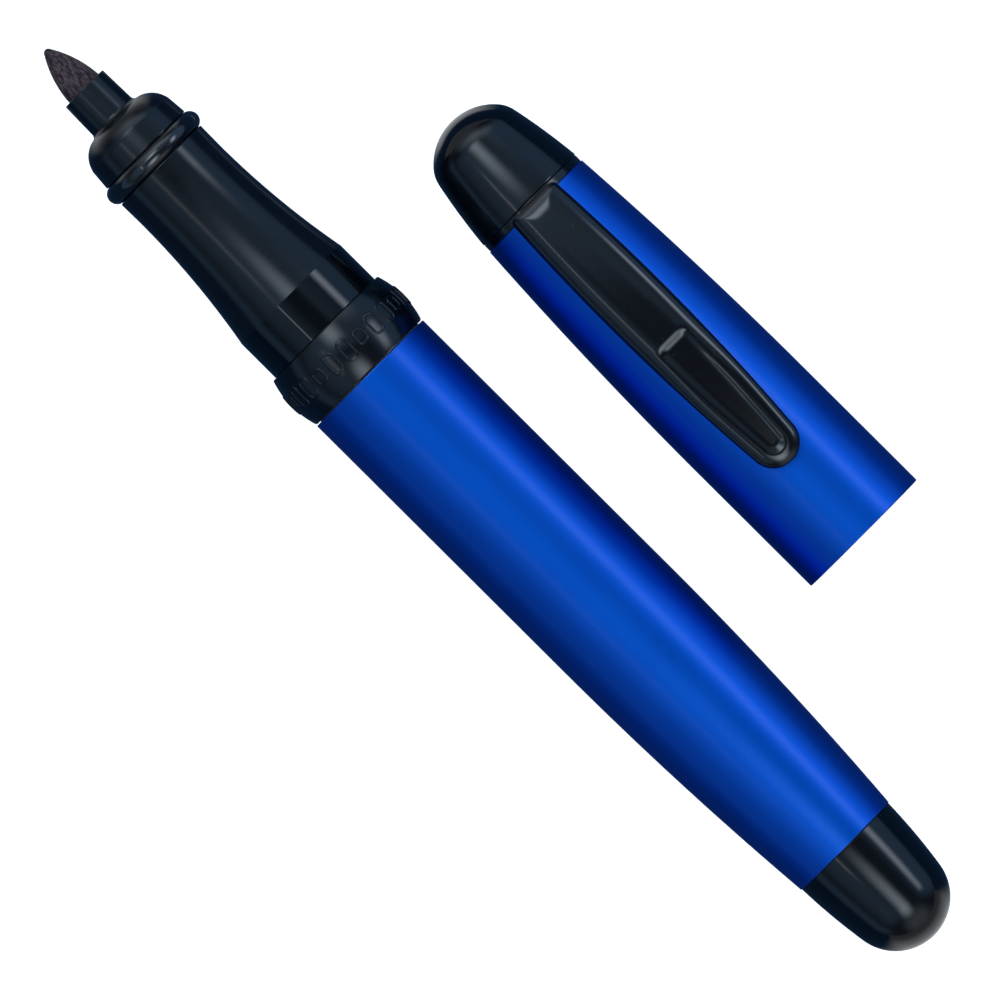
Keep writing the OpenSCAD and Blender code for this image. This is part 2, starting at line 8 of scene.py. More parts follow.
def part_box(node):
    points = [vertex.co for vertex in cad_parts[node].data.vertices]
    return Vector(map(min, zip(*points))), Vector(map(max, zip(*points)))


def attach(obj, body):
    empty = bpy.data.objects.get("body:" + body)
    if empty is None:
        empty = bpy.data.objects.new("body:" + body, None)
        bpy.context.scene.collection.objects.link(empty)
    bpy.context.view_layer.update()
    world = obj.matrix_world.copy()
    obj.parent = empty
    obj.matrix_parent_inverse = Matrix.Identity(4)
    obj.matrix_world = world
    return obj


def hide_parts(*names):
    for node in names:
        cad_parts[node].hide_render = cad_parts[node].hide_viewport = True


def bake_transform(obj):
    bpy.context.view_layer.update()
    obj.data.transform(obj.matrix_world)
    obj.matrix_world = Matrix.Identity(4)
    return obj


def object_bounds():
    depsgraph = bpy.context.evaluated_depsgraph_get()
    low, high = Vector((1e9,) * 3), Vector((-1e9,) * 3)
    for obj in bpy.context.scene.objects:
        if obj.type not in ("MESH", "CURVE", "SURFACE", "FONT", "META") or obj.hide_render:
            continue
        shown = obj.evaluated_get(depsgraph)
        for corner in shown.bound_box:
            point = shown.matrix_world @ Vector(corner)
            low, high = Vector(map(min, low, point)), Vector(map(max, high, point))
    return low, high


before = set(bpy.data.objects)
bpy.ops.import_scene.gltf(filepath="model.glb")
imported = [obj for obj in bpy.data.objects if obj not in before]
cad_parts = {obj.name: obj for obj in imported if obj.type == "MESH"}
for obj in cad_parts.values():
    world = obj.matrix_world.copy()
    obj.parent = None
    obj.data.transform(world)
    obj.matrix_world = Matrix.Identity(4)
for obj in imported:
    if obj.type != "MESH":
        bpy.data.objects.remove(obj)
cad_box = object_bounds()
mm = 0.001
play = 0.02 * mm  # between pieces that fit closely
weld = 2e-7  # points nearer than this are one

# ---------------------------------------------------------------- places and sizes from the frame


def low(node):
    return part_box(node)[0]


def high(node):
    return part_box(node)[1]


def radius_of(node):
    return (high(node).z - low(node).z) / 2


nib_tip_x = low("nib").x
nib_mouth_x = low("nib_holder").x
section_x = low("grip_section").x
tenon_x1 = high("grip_section").x
seal_x = (low("seal_ring").x + high("seal_ring").x) / 2
collar_l = high("collar_ring").x
barrel_x0, barrel_x1 = low("barrel_sleeve").x, high("barrel_sleeve").x
tail_tip_x = high("tail_dome").x
body_r = radius_of("barrel_sleeve")
collar_r = radius_of("collar_ring")
seat_r = radius_of("grip_section")
seal_r = radius_of("seal_ring")

cap_y = (low("cap_sleeve").y + high("cap_sleeve").y) / 2
cap_z = (low("cap_sleeve").z + high("cap_sleeve").z) / 2
cap_tip_x = low("cap_dome").x
dome_x1 = high("cap_dome").x
ring_x1 = low("cap_sleeve").x
cap_mouth_x = high("cap_sleeve").x
clip_x1 = high("clip_arm").x
clip_crest_z = high("clip_arm").z
clip_w = high("clip_arm").y - low("clip_arm").y
surface_z = cad_box[0].z

# Driving dimensions that the frame's boxes don't give
barrel_wall = 0.6 * mm
barrel_tail_r = 6.33 * mm
barrel_bend_x = barrel_x0 + 35.6 * mm
insert_bore_r = 4.65 * mm
lip_r = 5.40 * mm
lip_back_r = 5.60 * mm
groove_r = 5.15 * mm
neck_r = 5.72 * mm
waist_r = 5.68 * mm
waist_back = 3.75 * mm
seal_half_w = 1.05 * mm
seat_l = 5 * mm
tenon_land_r = 5.60 * mm
tenon_root_r = 5.34 * mm
tenon_crest_r = 5.62 * mm
oring_x0, oring_x1, oring_groove_r = 0.1 * mm, 1.1 * mm, 5.1 * mm
thread_x, thread_turns, thread_pitch = 1.6 * mm, 4.6, 1.5 * mm
collar_crown_x = 3.2 * mm
collar_crown_r = 10 * mm
collar_bore_r = 6.62 * mm
collar_spigot_r, collar_spigot_l = 7.5 * mm, 0.08 * mm
link_count, link_first, link_pitch = 13, math.radians(-87), math.radians(14.5)
link_l, link_w, link_corner_r = 2.3 * mm, 1.15 * mm, 0.42 * mm
link_stroke_r, link_sunk = 0.17 * mm, 0.07 * mm
tail_base_r = 6.24 * mm
tail_nose_r = 5.58 * mm
tail_side_r = 66 * mm
spigot_l, spigot_r, spigot_bore_r = 12 * mm, 5.18 * mm, 4.7 * mm
tail_end_t = 3.6 * mm
nib_r = 2.1 * mm
nib_tip_r = 0.45 * mm
nib_side_r = 11.5 * mm
nib_stem_r = 1.2 * mm
nib_stem_x1 = -13 * mm
tube_mouth_r = 2.69 * mm
tube_root_r = 2.77 * mm
shoulder_r = 5.36 * mm
shoulder_round_r = 2.9 * mm
shoulder_slope = math.radians(14)
insert_r = 4.6 * mm
insert_neck_l = 1.2 * mm
nose_plug_r, nose_plug_l = 3.98 * mm, 5 * mm
nose_hollow_r, nose_floor_t = 3 * mm, 3 * mm
cap_wall = 0.45 * mm
cap_tip_r = 6.65 * mm
cap_bore_r = 7.2 * mm
cap_straight_l = 16.45 * mm
cap_dome_r = 6.6 * mm
cap_dome_slope = math.radians(5.4)
cap_nose_r, cap_knuckle_r, cap_side_r = 6.2 * mm, 3.5 * mm, 70 * mm
dome_rebate_r, dome_rebate_l = cap_dome_r - 1.5 * mm, 3.35 * mm
dome_hollow_r, dome_hollow_l = 3.95 * mm, 6.7 * mm
dome_boss_r, stud_thread_r, stud_thread_l = 2.8 * mm, 1.22 * mm, 6.1 * mm
ring_r = 6.54 * mm
stud_hole_r = 1.3 * mm
clip_root_gap = 0.27 * mm
clip_side_r = 250 * mm
clip_wide_l = 14.4 * mm
clip_t = 1.25 * mm
clip_crest_l = 22.4 * mm
clip_arch_r = 270 * mm
bead_back, bead_r = 2.5 * mm, 2.4 * mm
bead_fit = 0.12 * mm

clip_x0 = dome_x1 + clip_root_gap

# ---------------------------------------------------------------- outlines: (distance along X, radius)


def sag(r, d):
    """How far an arc of radius r has dropped at d from its top."""
    return r - math.sqrt(r * r - d * d)


def arc(cx, cr, r, a0, a1, steps):
    angles = [a0 + (a1 - a0) * i / steps for i in range(steps + 1)]
    return [(cx + r * math.cos(a), cr + r * math.sin(a)) for a in angles]


def sweep(xa, ra, xb, rb, steps=40):
    """An arc from (xa, ra), where it is level, to (xb, rb)."""
    length, drop = abs(xb - xa), abs(rb - ra)
    r = (length * length + drop * drop) / (2 * drop)
    way = 1 if rb > ra else -1
    return [(xa + (xb - xa) * i / steps, ra + way * sag(r, length * i / steps)) for i in range(steps + 1)]


def circles_meet(a, ra, b, rb):
    """The lower point where two circles cross."""
    d = math.dist(a, b)
    ex, er = (b[0] - a[0]) / d, (b[1] - a[1]) / d
    t = (d * d + ra * ra - rb * rb) / (2 * d)
    h = math.sqrt(ra * ra - t * t)
    return (a[0] + t * ex + h * er, a[1] + t * er - h * ex)


def angle_to(a, b):
    return math.atan2(b[1] - a[1], b[0] - a[0])


def bullet(length, base_r, nose_r, side_r):
    """A round nose at 0 and one long side arc to (length, base_r)."""
    nose, base = (nose_r, 0), (length, base_r)
    side = circles_meet(nose, side_r - nose_r, base, side_r)
    join = angle_to(side, nose)
    return arc(*nose, nose_r, math.pi, join, 36) + arc(*side, side_r, join, angle_to(side, base), 36)[1:]


def blunt_dome(length, base_r, slope, nose_r, knuckle_r, side_r):
    """A nose at 0, a tighter knuckle and one long side arc to (length, base_r)."""
    nose = (nose_r, 0)
    side = (length + side_r * math.sin(slope), base_r - side_r * math.cos(slope))
    knuckle = circles_meet(nose, nose_r - knuckle_r, side, side_r - knuckle_r)
    join_a, join_b = angle_to(nose, knuckle), angle_to(side, knuckle)
    return (arc(*nose, nose_r, math.pi, join_a, 30) + arc(*knuckle, knuckle_r, join_a, join_b, 20)[1:]
            + arc(*side, side_r, join_b, math.pi / 2 + slope, 30)[1:])


def barrel_line(lower, x0):
    return [(x0, body_r - lower)] + sweep(barrel_bend_x, body_r - lower, barrel_x1, barrel_tail_r - lower)


def cap_line(tip_r, mouth_r, x1):
    bend_x = cap_mouth_x - cap_straight_l
    return sweep(bend_x, mouth_r, ring_x1, tip_r)[::-1] + [(x1, mouth_r)]


def round_corner(before, corner, after, radius, steps=5):
    """Points of a round in place of a corner, no longer than half of either line that meets there."""
    a, b = before - corner, after - corner
    half = a.angle(b) / 2
    reach = min(radius / math.tan(half), 0.49 * a.length, 0.49 * b.length)
    a.normalize()
    b.normalize()
    centre = corner + (a + b).normalized() * (reach * math.tan(half) / math.sin(half))
    start, end = corner + a * reach - centre, corner + b * reach - centre
    turn = start.angle_signed(end)
    return [centre + Matrix.Rotation(-turn * k / steps, 2) @ start for k in range(steps + 1)]


def eased(points):
    """Points given as (x, r, round) get a round edge of that radius, and long lines get short end pieces
    so that their shading stays even. An outline off the axis is a closed loop."""
    loop = points[0][1] > 0 or points[-1][1] > 0
    count = len(points)
    spots = [Vector(p[:2]) for p in points]
    out = []
    for i, p in enumerate(points):
        if len(p) < 3 or (not loop and i in (0, count - 1)):
            out.append(spots[i])
        else:
            out += round_corner(spots[i - 1], spots[i], spots[(i + 1) % count], p[2])
    if loop:
        out.append(out[0].copy())
    held = [out[0]]
    for a, b in zip(out, out[1:]):
        if (b - a).length > 0.4 * mm:
            step = (b - a).normalized() * 0.04 * mm
            held += [a + step, b - step]
        held.append(b)
    return held


# ---------------------------------------------------------------- geometry node trees


def feed(tree, socket, value):
    """Links a node's input to another node's output, or sets its value."""
    if isinstance(value, bpy.types.NodeSocket):
        tree.links.new(value, socket)
    else:
        socket.default_value = value


def put(tree, kind, **values):
    """A node with its properties (plain words) and its inputs (words that start with in_) set."""
    made = tree.nodes.new(kind)
    for name, value in values.items():
        if not name.startswith("in_"):
            setattr(made, name, value)
    for name, value in values.items():
        if name.startswith("in_"):
            key = name[3:]
            feed(tree, made.inputs[int(key) if key.isdigit() else key.replace("_", " ")], value)
    return made


def sums(tree, operation, a, b=0.0, c=0.0, clamp=False):
    """One Math node in either kind of tree."""
    made = put(tree, "ShaderNodeMath", operation=operation, use_clamp=clamp, in_0=a, in_1=b, in_2=c)
    return made.outputs[0]


def times(tree, a, b):
    return sums(tree, "MULTIPLY", a, b)


def times_plus(tree, a, b, c, clamp=False):
    return sums(tree, "MULTIPLY_ADD", a, b, c, clamp)


def minus(tree, a, b):
    return sums(tree, "SUBTRACT", a, b)


def vector(tree, x, y, z):
    return put(tree, "ShaderNodeCombineXYZ", in_X=x, in_Y=y, in_Z=z).outputs[0]


def parts_of(tree, place):
    """The three parts of a place."""
    return put(tree, "ShaderNodeSeparateXYZ", in_0=place).outputs


def new_tree(name, kind, inputs, outputs):
    """A node group with its inputs, given as (name, kind of value, value), and its outputs."""
    tree = bpy.data.node_groups.new(name, kind)
    for words, socket, value in inputs:
        made = tree.interface.new_socket(words, in_out="INPUT", socket_type="NodeSocket" + socket)
        if value is not None:
            made.default_value = value
    for words, socket in outputs:
        tree.interface.new_socket(words, in_out="OUTPUT", socket_type="NodeSocket" + socket)
    return tree, tree.nodes.new("NodeGroupInput").outputs, tree.nodes.new("NodeGroupOutput").inputs


def shape_tree(name, inputs):
    """A geometry node group whose inputs start with the seed's mesh and end with the finish."""
    inputs = [("Seed", "Geometry", None), *inputs, ("Finish", "Material", None)]
    return new_tree(name, "GeometryNodeTree", inputs, [("Shape", "Geometry")])


def end_shape(tree, given, result, geometry):
    real = put(tree, "GeometryNodeRealizeInstances", in_Geometry=geometry)
    done = put(tree, "GeometryNodeSetMaterial", in_Geometry=real.outputs[0], in_Material=given["Finish"])
    feed(tree, result[0], done.outputs[0])
    return tree


def position(tree):
    return put(tree, "GeometryNodeInputPosition").outputs[0]


def turning_tree():
    """Turns an outline, given as a row of points (distance, radius), about a line along X."""
    tree, given, result = shape_tree(
        "turn_outline", [("Steps round", "Int", 180), ("Axis Y", "Float", 0.0), ("Axis Z", "Float", 0.0)])
    size = put(tree, "GeometryNodeAttributeDomainSize", component="MESH", in_Geometry=given["Seed"])
    rounds = sums(tree, "ADD", given["Steps round"], 1)
    grid = put(tree, "GeometryNodeMeshGrid", in_Vertices_X=size.outputs["Point Count"], in_Vertices_Y=rounds)
    index = put(tree, "GeometryNodeInputIndex").outputs[0]
    row = sums(tree, "FLOOR", sums(tree, "DIVIDE", sums(tree, "ADD", index, 0.5), rounds))
    step = minus(tree, index, times(tree, row, rounds))
    angle = times(tree, sums(tree, "DIVIDE", step, given["Steps round"]), 2 * math.pi)
    point = put(tree, "GeometryNodeSampleIndex", data_type="FLOAT_VECTOR", domain="POINT",
                in_Geometry=given["Seed"], in_Value=position(tree), in_Index=row)
    x, r, _ = parts_of(tree, point.outputs[0])
    y = times_plus(tree, r, sums(tree, "COSINE", angle), given["Axis Y"])
    z = times_plus(tree, r, sums(tree, "SINE", angle), given["Axis Z"])
    placed = put(tree, "GeometryNodeSetPosition", in_Geometry=grid.outputs["Mesh"],
                 in_Position=vector(tree, x, y, z))
    sewn = put(tree, "GeometryNodeMergeByDistance", in_Geometry=placed.outputs[0], in_Distance=weld)
    return end_shape(tree, given, result, sewn.outputs[0])


def raised_links_tree():
    """Raised outlines of rounded links on the crown of a ring about the X axis, side by side round it."""
    tree, given, result = shape_tree(
        "raised_links",
        [("Links", "Int", 12), ("First angle", "Float", 0.0), ("Pitch angle", "Float", 0.2),
         ("Ring radius", "Float", 8 * mm), ("Ring X", "Float", 3 * mm), ("Crown radius", "Float", 10 * mm),
         ("Link length", "Float", 2.2 * mm), ("Link width", "Float", 1.3 * mm),
         ("Corner radius", "Float", 0.5 * mm), ("Stroke radius", "Float", 0.2 * mm),
         ("Sunk", "Float", 0.1 * mm), ("Short link", "Float", 0.64)])
    plan = put(tree, "GeometryNodeCurvePrimitiveQuadrilateral", mode="RECTANGLE",
               in_Width=given["Link length"], in_Height=given["Link width"])
    rounded = put(tree, "GeometryNodeFilletCurve", mode="POLY", in_Curve=plan.outputs[0], in_Count=6,
                  in_Radius=given["Corner radius"])
    fine = put(tree, "GeometryNodeResampleCurve", in_Curve=rounded.outputs[0], in_Count=44)
    index = put(tree, "GeometryNodeInputIndex").outputs[0]
    spots = put(tree, "GeometryNodePoints", in_Count=given["Links"])
    every_third = sums(tree, "COMPARE", sums(tree, "MODULO", index, 3.0), 1.0, 0.1)
    scale = times_plus(tree, every_third, minus(tree, given["Short link"], 1.0), 1.0)
    links = put(tree, "GeometryNodeInstanceOnPoints", in_Points=spots.outputs[0], in_Instance=fine.outputs[0],
                in_Scale=vector(tree, scale, 1.0, 1.0))
    loose = put(tree, "GeometryNodeRealizeInstances", in_Geometry=links.outputs[0])
    turn = put(tree, "GeometryNodeStoreNamedAttribute", data_type="FLOAT", domain="CURVE", in_Name="turn",
               in_Geometry=loose.outputs[0],
               in_Value=times_plus(tree, index, given["Pitch angle"], given["First angle"]))
    kept = put(tree, "GeometryNodeInputNamedAttribute", data_type="FLOAT", in_Name="turn")
    x, y, _ = parts_of(tree, position(tree))
    crown = given["Crown radius"]
    level = minus(tree, times(tree, crown, crown), times(tree, x, x))
    drop = minus(tree, crown, sums(tree, "SQRT", level))
    r = minus(tree, minus(tree, given["Ring radius"], given["Sunk"]), drop)
    angle = sums(tree, "ADD", sums(tree, "DIVIDE", y, given["Ring radius"]), kept.outputs["Attribute"])
    there = vector(tree, sums(tree, "ADD", x, given["Ring X"]),
                   times(tree, r, sums(tree, "SINE", angle)),
                   times(tree, r, sums(tree, "COSINE", angle)))
    on_crown = put(tree, "GeometryNodeSetPosition", in_Geometry=turn.outputs[0], in_Position=there)
    stroke = put(tree, "GeometryNodeCurvePrimitiveCircle", mode="RADIUS", in_Resolution=12,
                 in_Radius=given["Stroke radius"])
    raised = put(tree, "GeometryNodeCurveToMesh", in_Curve=on_crown.outputs[0],
                 in_Profile_Curve=stroke.outputs[0])
    return end_shape(tree, given, result, raised.outputs[0])


def thread_tree():
    """The ridge of a screw thread: a spiral about the X axis with a profile that slopes on both flanks,
    which runs out into the core at both ends."""
    tree, given, result = shape_tree(
        "thread_ridge",
        [("Turns", "Float", 4.0), ("Pitch", "Float", 1.5 * mm), ("Start X", "Float", 0.0),
         ("Root radius", "Float", 5.3 * mm), ("Crest radius", "Float", 5.6 * mm), ("Points", "Int", 360)])
    line = put(tree, "GeometryNodeCurvePrimitiveLine", in_Start=(0, 0, 0), in_End=(1, 0, 0))
    fine = put(tree, "GeometryNodeResampleCurve", in_Curve=line.outputs[0], in_Count=given["Points"])
    t = parts_of(tree, position(tree))["X"]
    turned_by = times(tree, t, given["Turns"])
    angle = times(tree, turned_by, 2 * math.pi)
    x = times_plus(tree, turned_by, given["Pitch"], given["Start X"])
    height = minus(tree, given["Crest radius"], given["Root radius"])
    to_end = sums(tree, "MINIMUM", t, minus(tree, 1.0, t))
    runout = sums(tree, "MULTIPLY", to_end, 16.0, clamp=True)
    flank = times(tree, height, 0.9)
    sunk = times(tree, minus(tree, 1.0, runout), height)
    r = minus(tree, minus(tree, given["Crest radius"], flank), sunk)
    there = vector(tree, x, times(tree, r, sums(tree, "COSINE", angle)),
                   times(tree, r, sums(tree, "SINE", angle)))
    wound = put(tree, "GeometryNodeSetPosition", in_Geometry=fine.outputs[0], in_Position=there)
    slope = put(tree, "GeometryNodeCurvePrimitiveCircle", mode="RADIUS", in_Resolution=8, in_Radius=flank)
    ridge = put(tree, "GeometryNodeCurveToMesh", in_Curve=wound.outputs[0], in_Profile_Curve=slope.outputs[0],
                in_Fill_Caps=True)
    return end_shape(tree, given, result, ridge.outputs[0])


# ---------------------------------------------------------------- making pieces


def show(name, mesh):
    made = bpy.data.objects.new(name, mesh)
    bpy.context.scene.collection.objects.link(made)
    return made


def grown(name, mesh, tree, **sizes):
    """The plain mesh that a geometry node tree makes from mesh, with the tree's named inputs set."""
    seed = show(name, mesh)
    worked = seed.modifiers.new("shape", "NODES")
    worked.node_group = tree
    for item in tree.interface.items_tree:
        key = item.name.replace(" ", "_")
        if item.in_out == "INPUT" and key in sizes:
            worked[item.identifier] = sizes[key]
    seed.update_tag()
    graph = bpy.context.evaluated_depsgraph_get()
    plain = bpy.data.meshes.new_from_object(seed.evaluated_get(graph), depsgraph=graph)
    seed.modifiers.remove(worked)
    bpy.data.objects.remove(seed)
    return plain


def outward(mesh, sharp=35):
    """Faces of closed shells turned outwards, smooth, with sharp edges where the surface turns."""
    work = bmesh.new()
    work.from_mesh(mesh)
    bmesh.ops.remove_doubles(work, verts=work.verts, dist=weld)
    bmesh.ops.recalc_face_normals(work, faces=work.faces)
    work.to_mesh(mesh)
    work.free()
    mesh.shade_smooth()
    mesh.set_sharp_from_angle(angle=math.radians(sharp))
    return mesh


def joined(name, meshes):
    """Several closed shells of one finish as one mesh."""
    work = bmesh.new()
    for mesh in meshes:
        work.from_mesh(mesh)
    for face in work.faces:
        face.material_index = 0
    whole = bpy.data.meshes.new(name)
    work.to_mesh(whole)
    work.free()
    whole.materials.append(next(held for held in meshes[0].materials if held))
    return whole


def turned(name, outline, finish, axis=(0, 0), steps=192):
    """The mesh of an outline, eased and turned about a line along X through (axis Y, axis Z)."""
    row = eased(outline)
    seed = bpy.data.meshes.new(name + "_outline")
    seed.from_pydata([(p.x, p.y, 0) for p in row], [(i, i + 1) for i in range(len(row) - 1)], [])
    return outward(grown(name, seed, turn_outline, Steps_round=steps, Axis_Y=axis[0], Axis_Z=axis[1],
                         Finish=finish))


def finish_piece(name, mesh, body, slot, *nodes):
    """A mesh as a piece that moves with a body, in place of nodes of the frame."""
    piece = show(name, mesh)
    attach(piece, body)
    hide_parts(*nodes)


def turned_piece(name, outline, finish, body, slot, node, axis=(0, 0), steps=192):
    finish_piece(name, turned(name, outline, finish, axis, steps), body, slot, node)


turn_outline = turning_tree()
raised_links = raised_links_tree()
thread_ridge = thread_tree()

# ---------------------------------------------------------------- shared surface effects


def effect_tree(name, inputs, outputs):
    """A shader group whose inputs are a place and some numbers, and whose outputs are numbers."""
    inputs = [("Place", "Vector", None)] + [(words, "Float", value) for words, value in inputs]
    return new_tree(name, "ShaderNodeTree", inputs, [(words, "Float") for words in outputs])


def noise(tree, place, **values):
    return put(tree, "ShaderNodeTexNoise", in_Vector=place, **values).outputs[0]


def share_of(tree, value, width):
    """1 at 0 and nothing from width on, either way."""
    away = sums(tree, "DIVIDE", sums(tree, "ABSOLUTE", value), width)
    return sums(tree, "SUBTRACT", 1.0, away, clamp=True)


def grain_group():
    """Fine grain and slow unevenness over a surface, both about 0.5."""
    tree, given, result = effect_tree(
        "surface_grain", [("Grain scale", 5000.0), ("Patch scale", 300.0)], ["Grain", "Patches"])
    place = given["Place"]
    grain = noise(tree, place, in_Scale=given["Grain scale"], in_Detail=3.0, in_Roughness=0.6)
    patches = noise(tree, place, in_Scale=given["Patch scale"], in_Detail=2.0, in_Roughness=0.5)
    feed(tree, result["Grain"], grain)
    feed(tree, result["Patches"], patches)
    return tree


def turning_group():
    """Fine rings that a lathe tool leaves, close together along X and a little uneven round the part."""
    tree, given, result = effect_tree(
        "turning_rings", [("Rings scale", 9000.0), ("Drift scale", 60.0)], ["Rings"])
    scale = vector(tree, given["Rings scale"], given["Drift scale"], given["Drift scale"])
    drawn = put(tree, "ShaderNodeMapping", in_Vector=given["Place"], in_Scale=scale).outputs[0]
    feed(tree, result["Rings"], noise(tree, drawn, in_Scale=1.0, in_Detail=2.0, in_Roughness=0.7))
    return tree


def scratch_group():
    """Sparse hairline scratches, 0 to 1."""
    tree, given, result = effect_tree(
        "hairline_scratches", [("Scratch scale", 200.0), ("Stretch along X", 0.25), ("Line width", 0.006)],
        ["Scratches"])
    place, scale = given["Place"], given["Scratch scale"]
    stretch = vector(tree, given["Stretch along X"], 1.0, 1.0)
    drawn = put(tree, "ShaderNodeVectorMath", operation="MULTIPLY", in_0=place, in_1=stretch).outputs[0]
    lines = noise(tree, drawn, in_Scale=scale, in_Detail=1.0, in_Distortion=0.6)
    where = noise(tree, place, in_Scale=times(tree, scale, 2.2), in_Detail=1.0)
    thin = share_of(tree, minus(tree, lines, 0.5), given["Line width"])
    some = times_plus(tree, where, 12.0, -7.0, clamp=True)
    feed(tree, result["Scratches"], times(tree, thin, some))
    return tree


def rim_group():
    """Wear along the rim of a turned part at a place along X, broken up by grain, 0 to 1, which also paints a
    thin highlight line along the rim.
    """
    tree, given, result = effect_tree(
        "rim_wear", [("Rim X", 0.0), ("Width", 0.2 * mm), ("Break-up scale", 2500.0)], ["Wear"])
    x = parts_of(tree, given["Place"])["X"]
    near = share_of(tree, minus(tree, x, given["Rim X"]), given["Width"])
    broken = noise(tree, given["Place"], in_Scale=given["Break-up scale"], in_Detail=3.0)
    some = times_plus(tree, broken, 4.0, -1.6, clamp=True)
    # the Wear output is partly edge wear and partly a painted highlight line
    feed(tree, result["Wear"], times(tree, near, some))
    return tree


surface_grain = grain_group()
turning_rings = turning_group()
hairline_scratches = scratch_group()
rim_wear = rim_group()

# ---------------------------------------------------------------- finishes


def empty_material(name):
    """A material and its tree, with no nodes yet."""
    material = bpy.data.materials.new(name)
    material.use_nodes = True
    tree = material.node_tree
    tree.nodes.clear()
    return material, tree


def new_finish(name, **constants):
    """A material with its Principled shader's inputs, and the place on the object in metres."""
    material, tree = empty_material(name)
    shader = put(tree, "ShaderNodeBsdfPrincipled", **constants)
    put(tree, "ShaderNodeOutputMaterial", in_Surface=shader.outputs[0])
    place = put(tree, "ShaderNodeTexCoord").outputs["Object"]
    return material, tree, shader.inputs, place


def use(tree, group, place, **values):
    """The outputs of a shader group at a place."""
    made = put(tree, "ShaderNodeGroup", node_tree=group)
    feed(tree, made.inputs["Place"], place)
    for name, value in values.items():
        feed(tree, made.inputs[name.replace("_", " ")], value)
    return made.outputs


def blended(tree, share, a, b):
    """Colour a at 0 and colour b at 1."""
    a, b = (value if isinstance(value, bpy.types.NodeSocket) else (*value, 1.0) for value in (a, b))
    return put(tree, "ShaderNodeMix", data_type="RGBA", in_0=share, in_6=a, in_7=b).outputs[2]


def bumped(tree, shader, height, strength, distance):
    bump = put(tree, "ShaderNodeBump", in_Strength=strength, in_Distance=distance, in_Height=height)
    feed(tree, shader["Normal"], bump.outputs[0])


def anodised(name, rims):
    """Blue anodised aluminium: dyed metal with a fine blasted grain under a thin clear layer, lighter along
    its rims, partly from wear and partly as a painted highlight line.
    """
    material, tree, shader, place = new_finish(
        name, in_Metallic=1.0, in_Coat_Weight=0.28, in_Coat_Roughness=0.22, in_Coat_IOR=1.5)
    grain = use(tree, surface_grain, place, Grain_scale=7000.0, Patch_scale=160.0)
    lines = use(tree, hairline_scratches, place, Scratch_scale=260.0, Line_width=0.004)
    dye = blended(tree, grain["Patches"], (0.0, 0.110, 0.67), (0.0, 0.125, 0.73))
    dye = blended(tree, times(tree, grain["Grain"], 0.22), dye, (0.001, 0.155, 0.78))
    dye = blended(tree, times(tree, lines[0], 0.10), dye, (0.10, 0.22, 0.80))
    # painted highlight: a lighter blue line along each rim, partly edge wear and partly light caught by the
    # rounded edge
    for rim_x in rims:
        wear_and_highlight = use(tree, rim_wear, place, Rim_X=rim_x, Width=0.16 * mm)
        dye = blended(tree, times(tree, wear_and_highlight[0], 0.25), dye, (0.16, 0.30, 0.80))
    feed(tree, shader["Base Color"], dye)
    rough = times_plus(tree, grain["Grain"], 0.10, 0.39)
    rough = times_plus(tree, grain["Patches"], 0.03, rough)
    feed(tree, shader["Roughness"], rough)
    bumped(tree, shader, grain["Grain"], 0.12, 0.02 * mm)
    return material


def moulded_gloss(name, colour=(0.0014, 0.0030, 0.0055), roughness=0.10, grain=0.05, gloss=1.53):
    """Polished black plastic with a slow moulding unevenness, hairlines and a little dust."""
    material, tree, shader, place = new_finish(name, in_IOR=gloss)
    uneven = use(tree, surface_grain, place, Grain_scale=2600.0, Patch_scale=190.0)
    lines = use(tree, hairline_scratches, place, Scratch_scale=320.0, Line_width=0.004,
                Stretch_along_X=0.5)
    dust = noise(tree, place, in_Scale=5200.0, in_Detail=1.0)
    specks = times_plus(tree, dust, 30.0, -23.4, clamp=True)
    body = blended(tree, uneven["Patches"], colour, tuple(1.5 * c for c in colour))
    body = blended(tree, times(tree, lines[0], 0.25), body, (0.03, 0.034, 0.04))
    body = blended(tree, times(tree, specks, 0.3), body, (0.10, 0.11, 0.12))
    feed(tree, shader["Base Color"], body)
    rough = times_plus(tree, uneven["Patches"], grain, roughness)
    rough = times_plus(tree, lines[0], 0.18, rough)
    rough = times_plus(tree, specks, 0.4, rough)
    feed(tree, shader["Roughness"], rough)
    height = times_plus(tree, uneven["Grain"], 0.15, uneven["Patches"])
    bumped(tree, shader, height, 0.04, 0.06 * mm)
    return material


def turned_black(name):
    """Black anodised grip: satin on the waist with fine turning rings, polished on the cap's seat."""
    material, tree, shader, place = new_finish(name, in_IOR=1.5)
    rings = use(tree, turning_rings, place, Rings_scale=7000.0, Drift_scale=90.0)
    uneven = use(tree, surface_grain, place, Grain_scale=6000.0, Patch_scale=220.0)
    x = parts_of(tree, place)["X"]
    seat = put(tree, "ShaderNodeMapRange", in_Value=x, in_1=-seat_l - play, in_2=-seat_l + play).outputs[0]
    body = blended(tree, rings[0], (0.0018, 0.0034, 0.0058), (0.0045, 0.0068, 0.0100))
    body = blended(tree, seat, body, (0.0006, 0.0024, 0.0046))
    feed(tree, shader["Base Color"], body)
    satin = times_plus(tree, rings[0], 0.08, 0.12)
    rough = times_plus(tree, minus(tree, 0.05, satin), seat, satin)
    rough = times_plus(tree, uneven["Patches"], 0.03, rough)
    feed(tree, shader["Roughness"], rough)
    height = times_plus(tree, uneven["Grain"], 0.2, rings[0])
    bumped(tree, shader, height, 0.05, 0.012 * mm)
    return material


